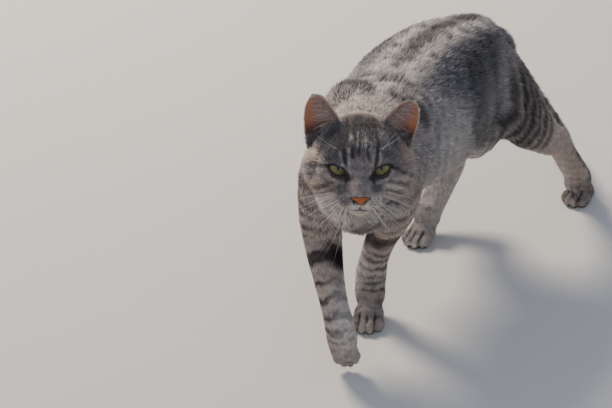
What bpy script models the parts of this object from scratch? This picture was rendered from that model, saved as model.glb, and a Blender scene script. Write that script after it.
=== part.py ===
"""A walking tabby cat, life size, as a still solid model out to the tips of its coat.

The cat faces -Y with its left side towards +X. Its back bends a little to its right, its head is
turned to its left, three paws stand on the floor and the right forepaw swings just above it.
"""
import math

import bmesh
import bpy
from mathutils import Matrix, Vector

CM = 0.01  # lengths below are in centimetres and are turned into metres as shapes are made
ORIGIN = Vector((4.775, 18.27, 0.0))  # the middle of the cat's outline on the floor

# driving dimensions
GAP = 0.03  # between neighbouring pieces
VOXEL = 0.22  # cell size for growing the shapes together
FLESH_TRIANGLES = 4900
TAIL_TRIANGLES = 320
EYES = Vector((8.83, -6.54, 23.8))  # the point midway between the eyes
FACE_TURN = math.radians(28.0)  # the face's heading, from straight ahead to the cat's left
FACE_RISE = math.radians(13.0)  # how far the face is lifted above level
EYE_SPACING = 3.8
EYE_RADIUS = 1.02
EAR_THICKNESS = 0.24

# head axes: left, forward and up
LEFT = Vector((math.cos(FACE_TURN), math.sin(FACE_TURN), 0.0))
FORWARD = Vector(
    (
        math.sin(FACE_TURN) * math.cos(FACE_RISE),
        -math.cos(FACE_TURN) * math.cos(FACE_RISE),
        math.sin(FACE_RISE),
    )
)
UP = FORWARD.cross(LEFT)

# Each station is a centre, then half the width across and half the depth of the section.
TRUNK = (
    (5.4, -1.2, 18.4, 3.4, 3.9),
    (4.95, 1.0, 18.9, 4.8, 5.2),
    (4.5, 4.0, 19.4, 5.5, 5.7),
    (4.0, 8.0, 19.2, 6.0, 6.2),
    (3.4, 12.5, 18.6, 6.6, 6.6),
    (3.1, 17.0, 18.3, 6.9, 7.0),
    (3.4, 21.5, 18.6, 6.3, 6.7),
    (4.1, 25.2, 19.0, 5.2, 5.6),
    (4.8, 27.6, 18.9, 4.1, 4.5),
    (5.1, 29.0, 19.2, 2.8, 3.2),
)
NECK = (
    (4.5, 4.5, 20.2, 4.6, 5.1),
    (5.1, 1.6, 20.9, 4.7, 4.9),
    (5.9, -1.0, 21.7, 4.4, 4.5),
    (6.8, -3.0, 22.5, 4.0, 4.2),
)
LEFT_FORELEG = (
    (5.9, 7.2, 24.2, 1.3, 2.0),
    (7.0, 5.4, 21.6, 1.9, 3.2),
    (7.7, 3.6, 17.8, 2.2, 3.2),
    (6.8, 5.0, 14.2, 2.0, 2.9),
    (5.2, 6.9, 11.0, 1.75, 2.2),
    (4.1, 7.4, 8.6, 1.5, 1.7),
    (3.25, 7.7, 6.0, 1.45, 1.4),
    (2.85, 8.0, 4.2, 1.6, 1.45),
    (3.05, 7.3, 2.1, 1.5, 1.35),
)
RIGHT_FORELEG = (
    (2.6, 6.2, 24.4, 1.3, 2.0),
    (1.7, 4.4, 21.6, 1.9, 3.2),
    (1.3, 1.8, 17.8, 2.4, 3.3),
    (0.8, 1.8, 14.0, 2.1, 2.9),
    (0.8, 1.8, 10.9, 1.8, 2.1),
    (2.7, -0.8, 8.9, 1.5, 1.6),
    (4.6, -3.1, 7.2, 1.35, 1.35),
    (5.55, -4.0, 5.9, 1.5, 1.25),
    (5.85, -4.0, 4.4, 1.55, 1.15),
    (5.88, -3.8, 3.2, 1.45, 1.15),
)
LEFT_HIND_LEG = (
    (6.7, 25.4, 20.0, 2.3, 3.5),
    (8.2, 25.9, 17.2, 2.6, 4.0),
    (9.7, 27.4, 14.1, 2.3, 3.4),
    (10.6, 29.4, 11.8, 1.8, 2.4),
    (11.0, 31.6, 9.9, 1.35, 1.8),
    (11.05, 33.7, 8.4, 1.3, 1.4),
    (11.4, 35.6, 5.8, 1.4, 1.25),
    (11.65, 37.5, 3.3, 1.45, 1.25),
    (11.8, 38.3, 1.8, 1.3, 1.2),
)
RIGHT_HIND_LEG = (
    (2.5, 25.8, 20.0, 2.3, 3.5),
    (1.2, 25.0, 17.2, 2.5, 4.1),
    (0.4, 23.6, 14.0, 2.2, 3.6),
    (0.8, 24.0, 11.4, 1.9, 2.7),
    (1.3, 26.35, 8.8, 1.75, 1.85),
    (1.8, 27.95, 6.9, 1.55, 1.5),
    (1.45, 26.85, 4.9, 1.5, 1.25),
    (1.1, 25.2, 2.9, 1.4, 1.15),
    (1.1, 24.0, 1.8, 1.35, 1.1),
)
TAIL = (
    (5.0, 28.6, 20.4, 1.5, 1.6),
    (5.3, 30.6, 19.0, 1.4, 1.45),
    (6.5, 33.4, 15.0, 1.3, 1.3),
    (7.8, 35.9, 10.8, 1.25, 1.25),
    (8.5, 38.6, 7.2, 1.2, 1.2),
    (8.3, 41.3, 4.2, 1.15, 1.15),
    (7.7, 43.9, 2.5, 0.95, 0.95),
    (7.2, 45.7, 2.2, 0.5, 0.5),
)

# Bulges of muscle and bone: centre, half sizes across, along and up, in the cat's own axes.
BODY_BULGES = (
    ((5.4, -0.4, 16.8), (3.3, 2.7, 3.1)),  # breast
    ((7.9, 2.7, 17.2), (2.1, 2.5, 2.6)),  # left point of the shoulder
    ((1.4, 1.0, 17.8), (2.4, 2.6, 3.2)),  # right point of the shoulder
    ((7.1, 6.3, 22.0), (2.6, 3.9, 3.4)),  # left shoulder blade
    ((1.7, 5.6, 22.2), (2.6, 3.9, 3.4)),  # right shoulder blade
    ((7.4, 22.4, 14.5), (2.0, 4.6, 2.8)),  # left fold of the flank
    ((0.9, 21.2, 14.9), (2.0, 4.0, 2.5)),  # right fold of the flank
    ((6.7, 26.6, 17.8), (2.3, 2.7, 3.6)),  # left buttock
    ((2.7, 27.4, 18.0), (2.4, 2.8, 3.8)),  # right buttock
    ((4.4, 24.8, 21.8), (3.6, 4.4, 2.8)),  # croup
    ((9.7, 25.9, 14.6), (1.7, 2.3, 1.95)),  # left knee
    ((0.2, 22.0, 13.6), (1.7, 2.3, 2.3)),  # right knee
    ((11.2, 34.4, 9.2), (0.75, 1.0, 0.9)),  # left point of the hock
    ((2.45, 28.9, 7.2), (0.75, 0.9, 1.0)),  # right point of the hock
    ((5.3, 8.3, 11.6), (1.2, 1.1, 1.3)),  # left elbow
    ((0.7, 3.0, 11.5), (1.2, 1.1, 1.3)),  # right elbow
)

# The same in the head's axes: left, forward and up from the point midway between the eyes.
HEAD_BULGES = (
    ((0.0, -3.9, 0.75), (4.1, 4.3, 3.65)),  # braincase
    ((0.0, -1.4, 0.9), (3.1, 2.1, 2.3)),  # forehead
    ((0.0, -2.6, -1.6), (3.6, 3.4, 2.6)),  # face and throat
    ((0.0, -0.1, -1.7), (2.1, 2.2, 1.7)),  # upper jaw
    ((0.0, 0.35, -3.15), (1.15, 1.45, 0.8)),  # chin
    ((0.0, -1.6, -2.9), (2.2, 2.5, 1.1)),  # lower jaw
)
HEAD_PAIRS = (
    ((2.85, -4.3, -0.6), (2.25, 3.2, 2.8)),  # cheek
    ((2.9, -2.4, -1.7), (1.5, 2.0, 1.5)),  # cheek, in front
    ((1.75, -1.1, 1.2), (1.5, 1.1, 0.75)),  # brow
    ((2.9, -1.2, 0.0), (0.9, 1.1, 0.8)),  # outer corner of the eye
    ((0.88, 1.1, -2.35), (1.15, 1.25, 1.0)),  # whisker pad
)
NOSE_BRIDGE = (
    (0.0, -0.6, 1.2, 1.1, 0.9),
    (0.0, 0.4, 0.1, 0.8, 0.75),
    (0.0, 1.3, -0.9, 0.68, 0.68),
    (0.0, 1.85, -1.65, 0.6, 0.58),
)

NOSE_CENTRE = (0.0, 2.1, -1.95)
NOSE_HALF = (0.62, 0.42, 0.46)
EYE_CENTRE = (EYE_SPACING / 2.0, -0.78, 0.0)
BOWL_CENTRE = (EYE_SPACING / 2.0 - 0.1, 0.3, 0.0)  # the hollow in front of the eye
BOWL_HALF = (0.78, 0.75, 0.45)

# Ears, in the head's axes: the two ends of the base, the tip, and how hollow the front is.
LEFT_EAR = {"inner": (1.75, -2.9, 3.3), "outer": (4.35, -4.2, 0.9), "tip": (4.9, -3.4, 5.4)}
RIGHT_EAR = {"inner": (-1.5, -2.9, 3.3), "outer": (-4.55, -4.2, 1.1), "tip": (-4.15, -3.3, 6.0)}
EAR_HOLLOW = 1.25

# Paws: the middle of the paw, the way that its toes point, the way its back faces, and how large it is.
PAWS = (
    ((3.65, 6.0, 0.92), (0.33, -0.94, 0.0), (0.0, 0.0, 1.0), 1.16),  # left fore
    ((5.9, -3.5, 2.55), (0.0, 0.28, -0.96), (0.3, -0.92, -0.25), 1.03),  # right fore, hanging
    ((11.95, 38.2, 0.9), (-0.12, -0.99, 0.0), (0.0, 0.0, 1.0), 1.08),  # left hind
    ((1.1, 22.9, 0.9), (-0.08, -1.0, 0.0), (0.0, 0.0, 1.0), 1.1),  # right hind
)
# Wrists and ankles, which carry each leg into its paw: middle and half size.
WRISTS = (
    ((3.1, 7.35, 2.5), (1.5, 1.4, 1.9)),  # left fore
    ((5.86, -3.85, 4.3), (1.48, 1.2, 1.7)),  # right fore
    ((11.75, 37.7, 2.5), (1.38, 1.65, 1.75)),  # left hind
    ((1.1, 24.1, 2.3), (1.42, 1.4, 1.6)),  # right hind
)
PAW_HALF = (1.28, 1.55, 1.0)
TOE_HALF = (0.47, 0.95, 0.62)
TOES = ((-0.93, 0.85), (-0.33, 1.3), (0.33, 1.3), (0.93, 0.85))  # across and ahead of the middle

# Where the pieces part: centre, normal and radius of a thin disc.
PARTINGS = (
    ((6.3, -1.6, 22.4), (0.36, -0.6, 0.7), 7.5),  # head from neck
    ((5.1, 1.0, 21.0), (0.25, -0.89, 0.38), 8.5),  # neck from trunk
    ((5.3, 7.0, 11.1), (0.0, 0.0, 1.0), 3.2),  # left foreleg
    ((0.8, 1.9, 12.2), (0.0, 0.0, 1.0), 3.4),  # right foreleg
    ((9.7, 28.4, 13.6), (-0.35, -0.45, 0.82), 5.6),  # left hind leg
    ((1.0, 24.3, 11.2), (0.0, 0.0, 1.0), 4.0),  # right hind leg
    ((3.1, 7.7, 3.2), (0.0, 0.0, 1.0), 2.4),  # left forepaw
    ((5.7, -4.0, 5.1), (0.05, -0.1, 1.0), 2.4),  # right forepaw
    ((11.8, 37.8, 3.3), (0.0, 0.0, 1.0), 2.7),  # left hind paw
    ((1.3, 24.9, 3.2), (0.0, 0.1, 1.0), 2.8),  # right hind paw
)
# A point inside each piece, by which the parted solids get their names.
PIECES = {
    "head": (7.7, -4.6, 23.2),
    "neck": (5.6, -0.2, 21.2),
    "trunk": (3.4, 14.0, 19.0),
    "front_leg_left": (4.3, 7.4, 8.8),
    "front_leg_right": (2.4, -0.2, 9.4),
    "hind_leg_left": (11.0, 31.6, 9.9),
    "hind_leg_right": (1.6, 25.8, 9.4),
    "front_paw_left": (3.5, 6.6, 1.4),
    "front_paw_right": (5.6, -3.6, 2.6),
    "hind_paw_left": (11.95, 38.2, 1.2),
    "hind_paw_right": (1.15, 23.3, 1.2),
}

# colours, as linear red, green and blue
GREY_COAT = (0.27, 0.25, 0.235, 1.0)
PALE_COAT = (0.42, 0.37, 0.32, 1.0)
DARK_COAT = (0.12, 0.105, 0.095, 1.0)
EAR_SKIN = (0.45, 0.2, 0.12, 1.0)
NOSE_LEATHER = (0.5, 0.14, 0.05, 1.0)
EYE_GREEN = (0.35, 0.38, 0.12, 1.0)


def clear_scene():
    for item in list(bpy.data.objects):
        bpy.data.objects.remove(item, do_unlink=True)


def place(point):
    """A point of the cat, in centimetres, in the model's metres."""
    return (Vector(point) - ORIGIN) * CM


def head_place(point):
    left, forward, up = point
    return place(EYES + LEFT * left + FORWARD * forward + UP * up)


def head_turn():
    return Matrix((LEFT, FORWARD, UP)).transposed().to_4x4()


def mirrored(point):
    return (-point[0], point[1], point[2])


def spline(stations, steps):
    """Points along a smooth curve through the stations, which may hold any count of numbers."""
    rows = [stations[0]] + list(stations) + [stations[-1]]
    result = []
    for before, start, end, after in zip(rows, rows[1:], rows[2:], rows[3:]):
        for step in range(steps):
            t = step / steps
            result.append(
                [
                    0.5 * (2 * b + (c - a) * t + (2 * a - 5 * b + 4 * c - d) * t**2
                           + (3 * b - a - 3 * c + d) * t**3)
                    for a, b, c, d in zip(before, start, end, after)
                ]
            )
    result.append(list(stations[-1]))
    return result


def add_tube(mesh, stations, ahead, to_world=place, sides=20, steps=5):
    """A closed tube with oval sections. Width is measured across, square to the direction ahead."""
    rows = spline(stations, steps)
    centres = [to_world(row[:3]) for row in rows]
    rings = []
    for index, row in enumerate(rows):
        before = centres[max(index - 1, 0)]
        after = centres[min(index + 1, len(rows) - 1)]
        along = (after - before).normalized()
        across = along.cross(Vector(ahead)).normalized()
        deep = across.cross(along)
        rings.append((centres[index], along, across * row[3] * CM, deep * row[4] * CM))
    # rounded ends
    ends = []
    for (centre, along, across, deep), sign in ((rings[0], -1.0), (rings[-1], 1.0)):
        reach = min(across.length, deep.length) * sign
        for angle in (0.5, 1.0, 1.4):
            shift = along * reach * math.sin(angle)
            ends.append((centre + shift, along, across * math.cos(angle), deep * math.cos(angle)))
    rings = [ends[2], ends[1], ends[0]] + rings + ends[3:]
    loops = []
    for centre, _, across, deep in rings:
        angles = [2.0 * math.pi * side / sides for side in range(sides)]
        loops.append(
            [mesh.verts.new(centre + across * math.cos(a) + deep * math.sin(a)) for a in angles]
        )
    for low, high in zip(loops, loops[1:]):
        for side in range(sides):
            after = (side + 1) % sides
            mesh.faces.new((low[side], low[after], high[after], high[side]))
    mesh.faces.new(list(reversed(loops[0])))
    mesh.faces.new(loops[-1])


def add_oval(mesh, centre, half, turn=Matrix.Identity(4), segments=20):
    """An ellipsoid, its centre in metres and its half sizes in centimetres along the turned axes."""
    size = Matrix.Diagonal((half[0] * CM, half[1] * CM, half[2] * CM, 1.0))
    matrix = Matrix.Translation(centre) @ turn @ size
    bmesh.ops.create_uvsphere(
        mesh, u_segments=segments, v_segments=segments // 2, radius=1.0, matrix=matrix
    )


def make_object(name, mesh):
    bmesh.ops.recalc_face_normals(mesh, faces=mesh.faces)
    data = bpy.data.meshes.new(name)
    mesh.to_mesh(data)
    mesh.free()
    item = bpy.data.objects.new(name, data)
    bpy.context.scene.collection.objects.link(item)
    return item


def add_modifier(item, kind, **settings):
    modifier = item.modifiers.new(kind.title(), kind)
    for key, value in settings.items():
        setattr(modifier, key, value)
    return modifier


def apply_modifiers(item):
    """Replaces the object's mesh by its evaluated one."""
    graph = bpy.context.evaluated_depsgraph_get()
    data = bpy.data.meshes.new_from_object(item.evaluated_get(graph), depsgraph=graph)
    item.modifiers.clear()
    item.data = data


def hide_cutter(item):
    item.hide_render = True
    item.display_type = "WIRE"


def cut(item, cutter):
    """Takes the cutter away from the object and removes the cutter."""
    hide_cutter(cutter)
    add_modifier(item, "BOOLEAN", operation="DIFFERENCE", solver="EXACT", object=cutter)
    apply_modifiers(item)
    bpy.data.objects.remove(cutter, do_unlink=True)


def grow_together(item, voxel, rounds):
    """Makes one closed skin round all the shapes of the object and smooths it."""
    add_modifier(item, "REMESH", mode="VOXEL", voxel_size=voxel * CM, adaptivity=0.0)
    add_modifier(item, "SMOOTH", factor=0.5, iterations=rounds)
    apply_modifiers(item)


def thin_to(item, triangles):
    add_modifier(item, "TRIANGULATE")
    apply_modifiers(item)
    share = triangles / len(item.data.polygons)
    add_modifier(
        item, "DECIMATE", decimate_type="COLLAPSE", ratio=share, use_collapse_triangulate=True
    )
    apply_modifiers(item)


def add_paw(mesh, centre, toward, back, size):
    """A paw with four toes, toward the given direction, with its back facing as given."""
    ahead = Vector(toward).normalized()
    across = ahead.cross(Vector(back)).normalized()
    up = across.cross(ahead)
    turn = Matrix((across, ahead, up)).transposed().to_4x4()
    add_oval(mesh, place(centre), [half * size for half in PAW_HALF], turn)
    for side, reach in TOES:
        toe = Vector(centre) + (across * side + ahead * reach - up * 0.3) * size
        add_oval(mesh, place(toe), [half * size for half in TOE_HALF], turn, segments=14)


def make_flesh():
    """Head, neck, trunk and legs as one skin."""
    body = bmesh.new()
    add_tube(body, TRUNK, (0, 0, 1), sides=28)
    add_tube(body, NECK, (0, 0, 1), sides=24)
    for leg in (LEFT_FORELEG, RIGHT_FORELEG, LEFT_HIND_LEG, RIGHT_HIND_LEG):
        add_tube(body, leg, (0, -1, 0))
    for centre, half in BODY_BULGES:
        add_oval(body, place(centre), half)
    for centre, half in HEAD_BULGES:
        add_oval(body, head_place(centre), half, head_turn())
    for centre, half in HEAD_PAIRS[:2]:
        add_oval(body, head_place(centre), half, head_turn())
        add_oval(body, head_place(mirrored(centre)), half, head_turn())
    flesh = make_object("flesh", body)
    grow_together(flesh, 0.3, 12)

    # the small forms, which strong smoothing would wash out
    fine = bmesh.new()
    fine.from_mesh(flesh.data)
    bpy.data.objects.remove(flesh, do_unlink=True)
    for centre, toward, back, size in PAWS:
        add_paw(fine, centre, toward, back, size)
    for centre, half in WRISTS:
        add_oval(fine, place(centre), half)
    for centre, half in HEAD_PAIRS[2:]:
        add_oval(fine, head_place(centre), half, head_turn())
        add_oval(fine, head_place(mirrored(centre)), half, head_turn())
    add_tube(fine, NOSE_BRIDGE, UP, to_world=head_place, sides=16)
    flesh = make_object("flesh", fine)
    grow_together(flesh, VOXEL, 3)
    thin_to(flesh, FLESH_TRIANGLES)
    return flesh


def floor_cutter():
    """A block below the floor, which flattens the soles."""
    block = bmesh.new()
    bmesh.ops.create_cube(block, size=1.0)
    bmesh.ops.scale(block, verts=block.verts, vec=(1.0, 1.0, 0.1))
    bmesh.ops.translate(block, verts=block.verts, vec=(0.0, 0.0, -0.05))
    return make_object("below_floor", block)


def disc_cutter(centre, normal, radius):
    """A disc as thick as the gap between pieces."""
    disc = bmesh.new()
    turn = Vector(normal).to_track_quat("Z", "Y").to_matrix().to_4x4()
    bmesh.ops.create_cone(
        disc, cap_ends=True, segments=24, radius1=radius * CM, radius2=radius * CM,
        depth=GAP * CM, matrix=Matrix.Translation(place(centre)) @ turn,
    )
    return make_object("parting", disc)


def oval_object(name, centre, half, turn, segments):
    mesh = bmesh.new()
    add_oval(mesh, centre, half, turn, segments)
    return make_object(name, mesh)


def grown(half, extra):
    return tuple(value + extra for value in half)


def cut_face(flesh):
    """Opens the sockets of the eyes and of the nose's leather."""
    for side in (1.0, -1.0):
        ball = head_place((side * EYE_CENTRE[0], *EYE_CENTRE[1:]))
        bowl = head_place((side * BOWL_CENTRE[0], *BOWL_CENTRE[1:]))
        cut(flesh, oval_object("socket", ball, grown((EYE_RADIUS,) * 3, GAP), head_turn(), 18))
        cut(flesh, oval_object("bowl", bowl, BOWL_HALF, head_turn(), 16))
    nose = head_place(NOSE_CENTRE)
    cut(flesh, oval_object("socket", nose, grown(NOSE_HALF, GAP), head_turn(), 12))


def split_pieces(flesh):
    """Parts the flesh with thin discs and names each solid by the point that it holds."""
    for centre, normal, radius in PARTINGS:
        cut(flesh, disc_cutter(centre, normal, radius))
    whole = bmesh.new()
    whole.from_mesh(flesh.data)
    bpy.data.objects.remove(flesh, do_unlink=True)
    shells = loose_shells(whole)
    pieces = {}
    for name, point in PIECES.items():
        spot = place(point)
        nearest = min(shells, key=lambda shell: min((v.co - spot).length for v in shell))
        pieces[name] = copy_shell(name, nearest)
    whole.free()
    return pieces


def loose_shells(mesh):
    """The mesh's separate shells, each a set of vertices."""
    left = set(mesh.verts)
    shells = []
    while left:
        front = [left.pop()]
        shell = set(front)
        while front:
            vertex = front.pop()
            for edge in vertex.link_edges:
                other = edge.other_vert(vertex)
                if other in left:
                    left.remove(other)
                    shell.add(other)
                    front.append(other)
        shells.append(shell)
    return shells


def copy_shell(name, shell):
    copy = bmesh.new()
    made = {vertex: copy.verts.new(vertex.co) for vertex in sorted(shell, key=lambda v: v.index)}
    faces = {face for vertex in shell for face in vertex.link_faces}
    for face in sorted(faces, key=lambda f: f.index):
        copy.faces.new([made[vertex] for vertex in face.verts])
    return make_object(name, copy)


def padded(body):
    """A copy of the body, larger all round by the gap, to cut its neighbours with."""
    copy = body.copy()
    copy.data = body.data.copy()
    bpy.context.scene.collection.objects.link(copy)
    add_modifier(copy, "DISPLACE", strength=GAP * CM, mid_level=0.0)
    apply_modifiers(copy)
    return copy


def make_ear(name, ear, flesh):
    """A thin hollow leaf from the skull to a rounded tip, cut where it meets the head."""
    inner, outer, tip = (Vector(ear[key]) for key in ("inner", "outer", "tip"))
    rows, columns = 9, 8
    leaf = bmesh.new()
    grid = []
    for row in range(rows + 1):
        rise = row / rows
        # the width shrinks slowly at first and then quickly towards the rounded tip
        narrow = math.sqrt(max(1.0 - rise**1.7, 0.0)) * 0.94 + 0.06 * (1.0 - rise)
        middle = (inner + outer) / 2.0 * (1.0 - rise) + tip * rise
        half = (outer - inner) / 2.0 * max(narrow, 0.12)
        line = []
        for column in range(columns + 1):
            across = 2.0 * column / columns - 1.0
            hollow = EAR_HOLLOW * (1.0 - across**2) * (1.0 - rise) ** 0.7
            back = Vector((0.25 * math.copysign(1.0, tip.x), -1.0, -0.1)) * hollow
            line.append(leaf.verts.new(head_place(middle + half * across + back)))
        grid.append(line)
    for low, high in zip(grid, grid[1:]):
        for column in range(columns):
            leaf.faces.new((low[column], low[column + 1], high[column + 1], high[column]))
    item = make_object(name, leaf)
    add_modifier(item, "SOLIDIFY", thickness=EAR_THICKNESS * CM, offset=0.0, use_even_offset=True)
    apply_modifiers(item)
    cut(item, padded(flesh))
    return item


def make_tail(flesh):
    """The hanging tail, cut where it meets the rump."""
    mesh = bmesh.new()
    add_tube(mesh, TAIL, (1, 0, 0), sides=16, steps=4)
    tail = make_object("tail", mesh)
    grow_together(tail, 0.25, 4)
    thin_to(tail, TAIL_TRIANGLES)
    cut(tail, padded(flesh))
    return tail


def coloured(item, colour, roughness):
    material = bpy.data.materials.new(item.name)
    material.use_nodes = True
    shader = material.node_tree.nodes["Principled BSDF"]
    shader.inputs["Base Color"].default_value = colour
    shader.inputs["Roughness"].default_value = roughness
    item.data.materials.clear()
    item.data.materials.append(material)
    item.data.shade_smooth()
    item.data.set_sharp_from_angle(angle=math.radians(50.0))


def build():
    clear_scene()
    flesh = make_flesh()
    cut(flesh, floor_cutter())
    ears = {"ear_left": LEFT_EAR, "ear_right": RIGHT_EAR}
    pieces = {name: make_ear(name, ear, flesh) for name, ear in ears.items()}
    pieces["tail"] = make_tail(flesh)
    cut_face(flesh)
    pieces.update(split_pieces(flesh))
    for name, side in (("eye_left", 1.0), ("eye_right", -1.0)):
        centre = head_place((side * EYE_CENTRE[0], *EYE_CENTRE[1:]))
        pieces[name] = oval_object(name, centre, (EYE_RADIUS,) * 3, head_turn(), 18)
    pieces["nose"] = oval_object("nose", head_place(NOSE_CENTRE), NOSE_HALF, head_turn(), 12)
    colours = {
        "ear_left": EAR_SKIN, "ear_right": EAR_SKIN, "eye_left": EYE_GREEN, "eye_right": EYE_GREEN,
        "nose": NOSE_LEATHER, "tail": DARK_COAT, "front_paw_left": PALE_COAT,
        "front_paw_right": PALE_COAT, "hind_paw_left": PALE_COAT, "hind_paw_right": PALE_COAT,
    }
    for name, item in pieces.items():
        glossy = name.startswith("eye")
        coloured(item, colours.get(name, GREY_COAT), 0.15 if glossy else 0.9)


build()
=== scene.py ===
import math

import bmesh
import bpy
import numpy as np
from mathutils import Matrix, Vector, kdtree


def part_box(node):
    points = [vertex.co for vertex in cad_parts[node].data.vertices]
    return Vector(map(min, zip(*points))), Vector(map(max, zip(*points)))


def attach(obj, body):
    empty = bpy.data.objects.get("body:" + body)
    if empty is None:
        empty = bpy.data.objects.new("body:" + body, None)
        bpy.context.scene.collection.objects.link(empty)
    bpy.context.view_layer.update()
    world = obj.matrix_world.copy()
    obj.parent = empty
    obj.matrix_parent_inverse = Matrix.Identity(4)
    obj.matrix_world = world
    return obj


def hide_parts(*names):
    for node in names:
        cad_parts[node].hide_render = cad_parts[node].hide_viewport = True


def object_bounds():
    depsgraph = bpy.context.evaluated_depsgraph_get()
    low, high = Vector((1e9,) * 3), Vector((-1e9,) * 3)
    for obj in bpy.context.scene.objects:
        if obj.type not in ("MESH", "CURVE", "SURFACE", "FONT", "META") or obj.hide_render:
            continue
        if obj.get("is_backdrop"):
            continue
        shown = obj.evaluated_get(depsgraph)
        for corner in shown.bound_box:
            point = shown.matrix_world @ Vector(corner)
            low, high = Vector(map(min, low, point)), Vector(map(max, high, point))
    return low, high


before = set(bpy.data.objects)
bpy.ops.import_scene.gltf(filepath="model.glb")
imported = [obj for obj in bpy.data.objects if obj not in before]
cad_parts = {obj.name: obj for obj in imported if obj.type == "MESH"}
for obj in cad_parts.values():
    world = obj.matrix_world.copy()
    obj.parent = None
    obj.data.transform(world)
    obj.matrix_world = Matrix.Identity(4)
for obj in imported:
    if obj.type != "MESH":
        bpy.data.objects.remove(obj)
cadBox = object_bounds()
print("frame loaded:", len(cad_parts), "nodes")


# Small helpers

def hexColour(code):
    # sRGB hex to the linear light that Blender's sockets hold
    s = np.array([int(code[i:i + 2], 16) for i in (1, 3, 5)]) / 255
    linear = np.where(s <= 0.04045, s / 12.92, ((s + 0.055) / 1.055) ** 2.4)
    return (*[float(v) for v in linear], 1.0)


def unit(v):
    return v / np.maximum(np.linalg.norm(v, axis=-1, keepdims=True), 1e-9)


def smooth(x, low, high):
    # 0 before low, 1 past high, and an S-shaped rise between them; low may be the larger
    t = np.clip((x - low) / (high - low), 0, 1)
    return t * t * (3 - 2 * t)


def waves(points, size, seed, layers=7):
    # soft noise of about -1 to 1: the mean of sine waves about `size` long that run in seeded directions
    rng = np.random.default_rng(seed)
    heading = unit(rng.normal(size=(layers, 3))) * rng.uniform(0.7, 1.5, (layers, 1))
    phase = rng.uniform(0, 2 * np.pi, layers)
    return np.sin(points @ heading.T * (2 * np.pi / size) + phase).sum(axis=1) / math.sqrt(layers)


def gridFaces(rows, columns):
    # triangles over a grid of rows rings, each ring closed on itself
    a = np.arange(rows - 1)[:, None] * columns + np.arange(columns)[None, :]
    b = np.arange(rows - 1)[:, None] * columns + (np.arange(columns) + 1)[None, :] % columns
    a, b = a.ravel(), b.ravel()
    return np.vstack([np.stack([a, b, b + columns], 1), np.stack([a, b + columns, a + columns], 1)])


def fanFaces(ring, centre, turned=False):
    # triangles from a closed ring of vertex numbers to one centre vertex
    after = np.roll(ring, -1)
    middle = np.full(len(ring), centre)
    return np.stack([after, ring, middle] if turned else [ring, after, middle], 1)


def outward(points, faces):
    # a closed shape whose signed volume comes out negative has its faces turned round
    a, b, c = points[faces[:, 0]], points[faces[:, 1]], points[faces[:, 2]]
    volume = (np.cross(a - points[0], b - points[0]) * (c - points[0])).sum()
    return faces if volume > 0 else faces[:, ::-1]


def ringsToShape(rings):
    # closes a stack of rings with one vertex at each end, placed at the mean of the end ring
    rows, columns, _ = rings.shape
    points = np.vstack([rings.reshape(-1, 3), rings[0].mean(0), rings[-1].mean(0)])
    last = rows * columns
    faces = np.vstack([
        gridFaces(rows, columns),
        fanFaces(np.arange(columns), last, turned=True),
        fanFaces(np.arange(columns) + (rows - 1) * columns, last + 1),
    ])
    return points, outward(points, faces)


def joined(shapes):
    # several (points, faces) shapes as one
    points = np.vstack([s[0] for s in shapes])
    starts = np.cumsum([0] + [len(s[0]) for s in shapes[:-1]])
    faces = np.vstack([s[1] + start for s, start in zip(shapes, starts)])
    return points, faces


def sweep(path, radius, sides=6):
    # a round profile carried along a path: each ring lies square to the path and has that place's radius
    path = np.asarray(path, float)
    heading = unit(np.gradient(path, axis=0))
    reference = np.eye(3)[np.abs(heading.mean(0)).argmin()]
    across = unit(np.cross(heading, reference))
    above = np.cross(across, heading)
    turn = np.linspace(0, 2 * np.pi, sides, endpoint=False)[None, :, None]
    rings = path[:, None] + np.asarray(radius)[:, None, None] * (
        np.cos(turn) * across[:, None] + np.sin(turn) * above[:, None])
    return ringsToShape(rings)


def finePath(rows, steps=10):
    # a smooth curve through the rows: each span is the Catmull-Rom cubic of its four nearest rows
    p = np.asarray(rows, float)
    p = np.vstack([2 * p[0] - p[1], p, 2 * p[-1] - p[-2]])
    t = np.linspace(0, 1, steps, endpoint=False)[:, None, None]
    a, b, c, d = p[:-3], p[1:-2], p[2:-1], p[3:]
    spans = 0.5 * (2 * b + (c - a) * t + (2 * a - 5 * b + 4 * c - d) * t ** 2
                   + (3 * b - a - 3 * c + d) * t ** 3)
    return np.vstack([spans.transpose(1, 0, 2).reshape(-1, p.shape[1]), p[-2]])


def meshObject(name, points, faces, material):
    # a finished piece: its mesh in the frame's metres, its object at the origin
    mesh = bpy.data.meshes.new(name)
    faces = np.ascontiguousarray(faces, np.int32)
    mesh.vertices.add(len(points))
    mesh.vertices.foreach_set("co", np.ascontiguousarray(points, np.float32).ravel())
    mesh.loops.add(faces.size)
    mesh.loops.foreach_set("vertex_index", faces.ravel())
    mesh.polygons.add(len(faces))
    mesh.polygons.foreach_set("loop_start", np.arange(0, faces.size, faces.shape[1], dtype=np.int32))
    mesh.update(calc_edges=True)
    mesh.shade_smooth()
    piece = bpy.data.objects.new(name, mesh)
    bpy.context.scene.collection.objects.link(piece)
    mesh.materials.append(material)
    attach(piece, "root")
    return piece


def storeColour(piece, name, values):
    # four numbers for each vertex, which the material reads by the attribute's name
    layer = piece.data.attributes.new(name, "FLOAT_COLOR", "POINT")
    layer.data.foreach_set("color", np.ascontiguousarray(values, np.float32).ravel())


def addNode(tree, kind, inputs=None, **settings):
    # one node: its settings are set, then each input is linked to a socket or given a value
    made = tree.nodes.new(kind)
    for key, value in settings.items():
        setattr(made, key, value)
    for key, value in (inputs or {}).items():
        if isinstance(value, bpy.types.NodeSocket):
            tree.links.new(value, made.inputs[key])
        else:
            made.inputs[key].default_value = value
    return made


# Where the body lies
# The body is set out in centimetres: x to the cat's left, y to its tail, z up from the floor.
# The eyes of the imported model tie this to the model's own frame, in metres.

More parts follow.
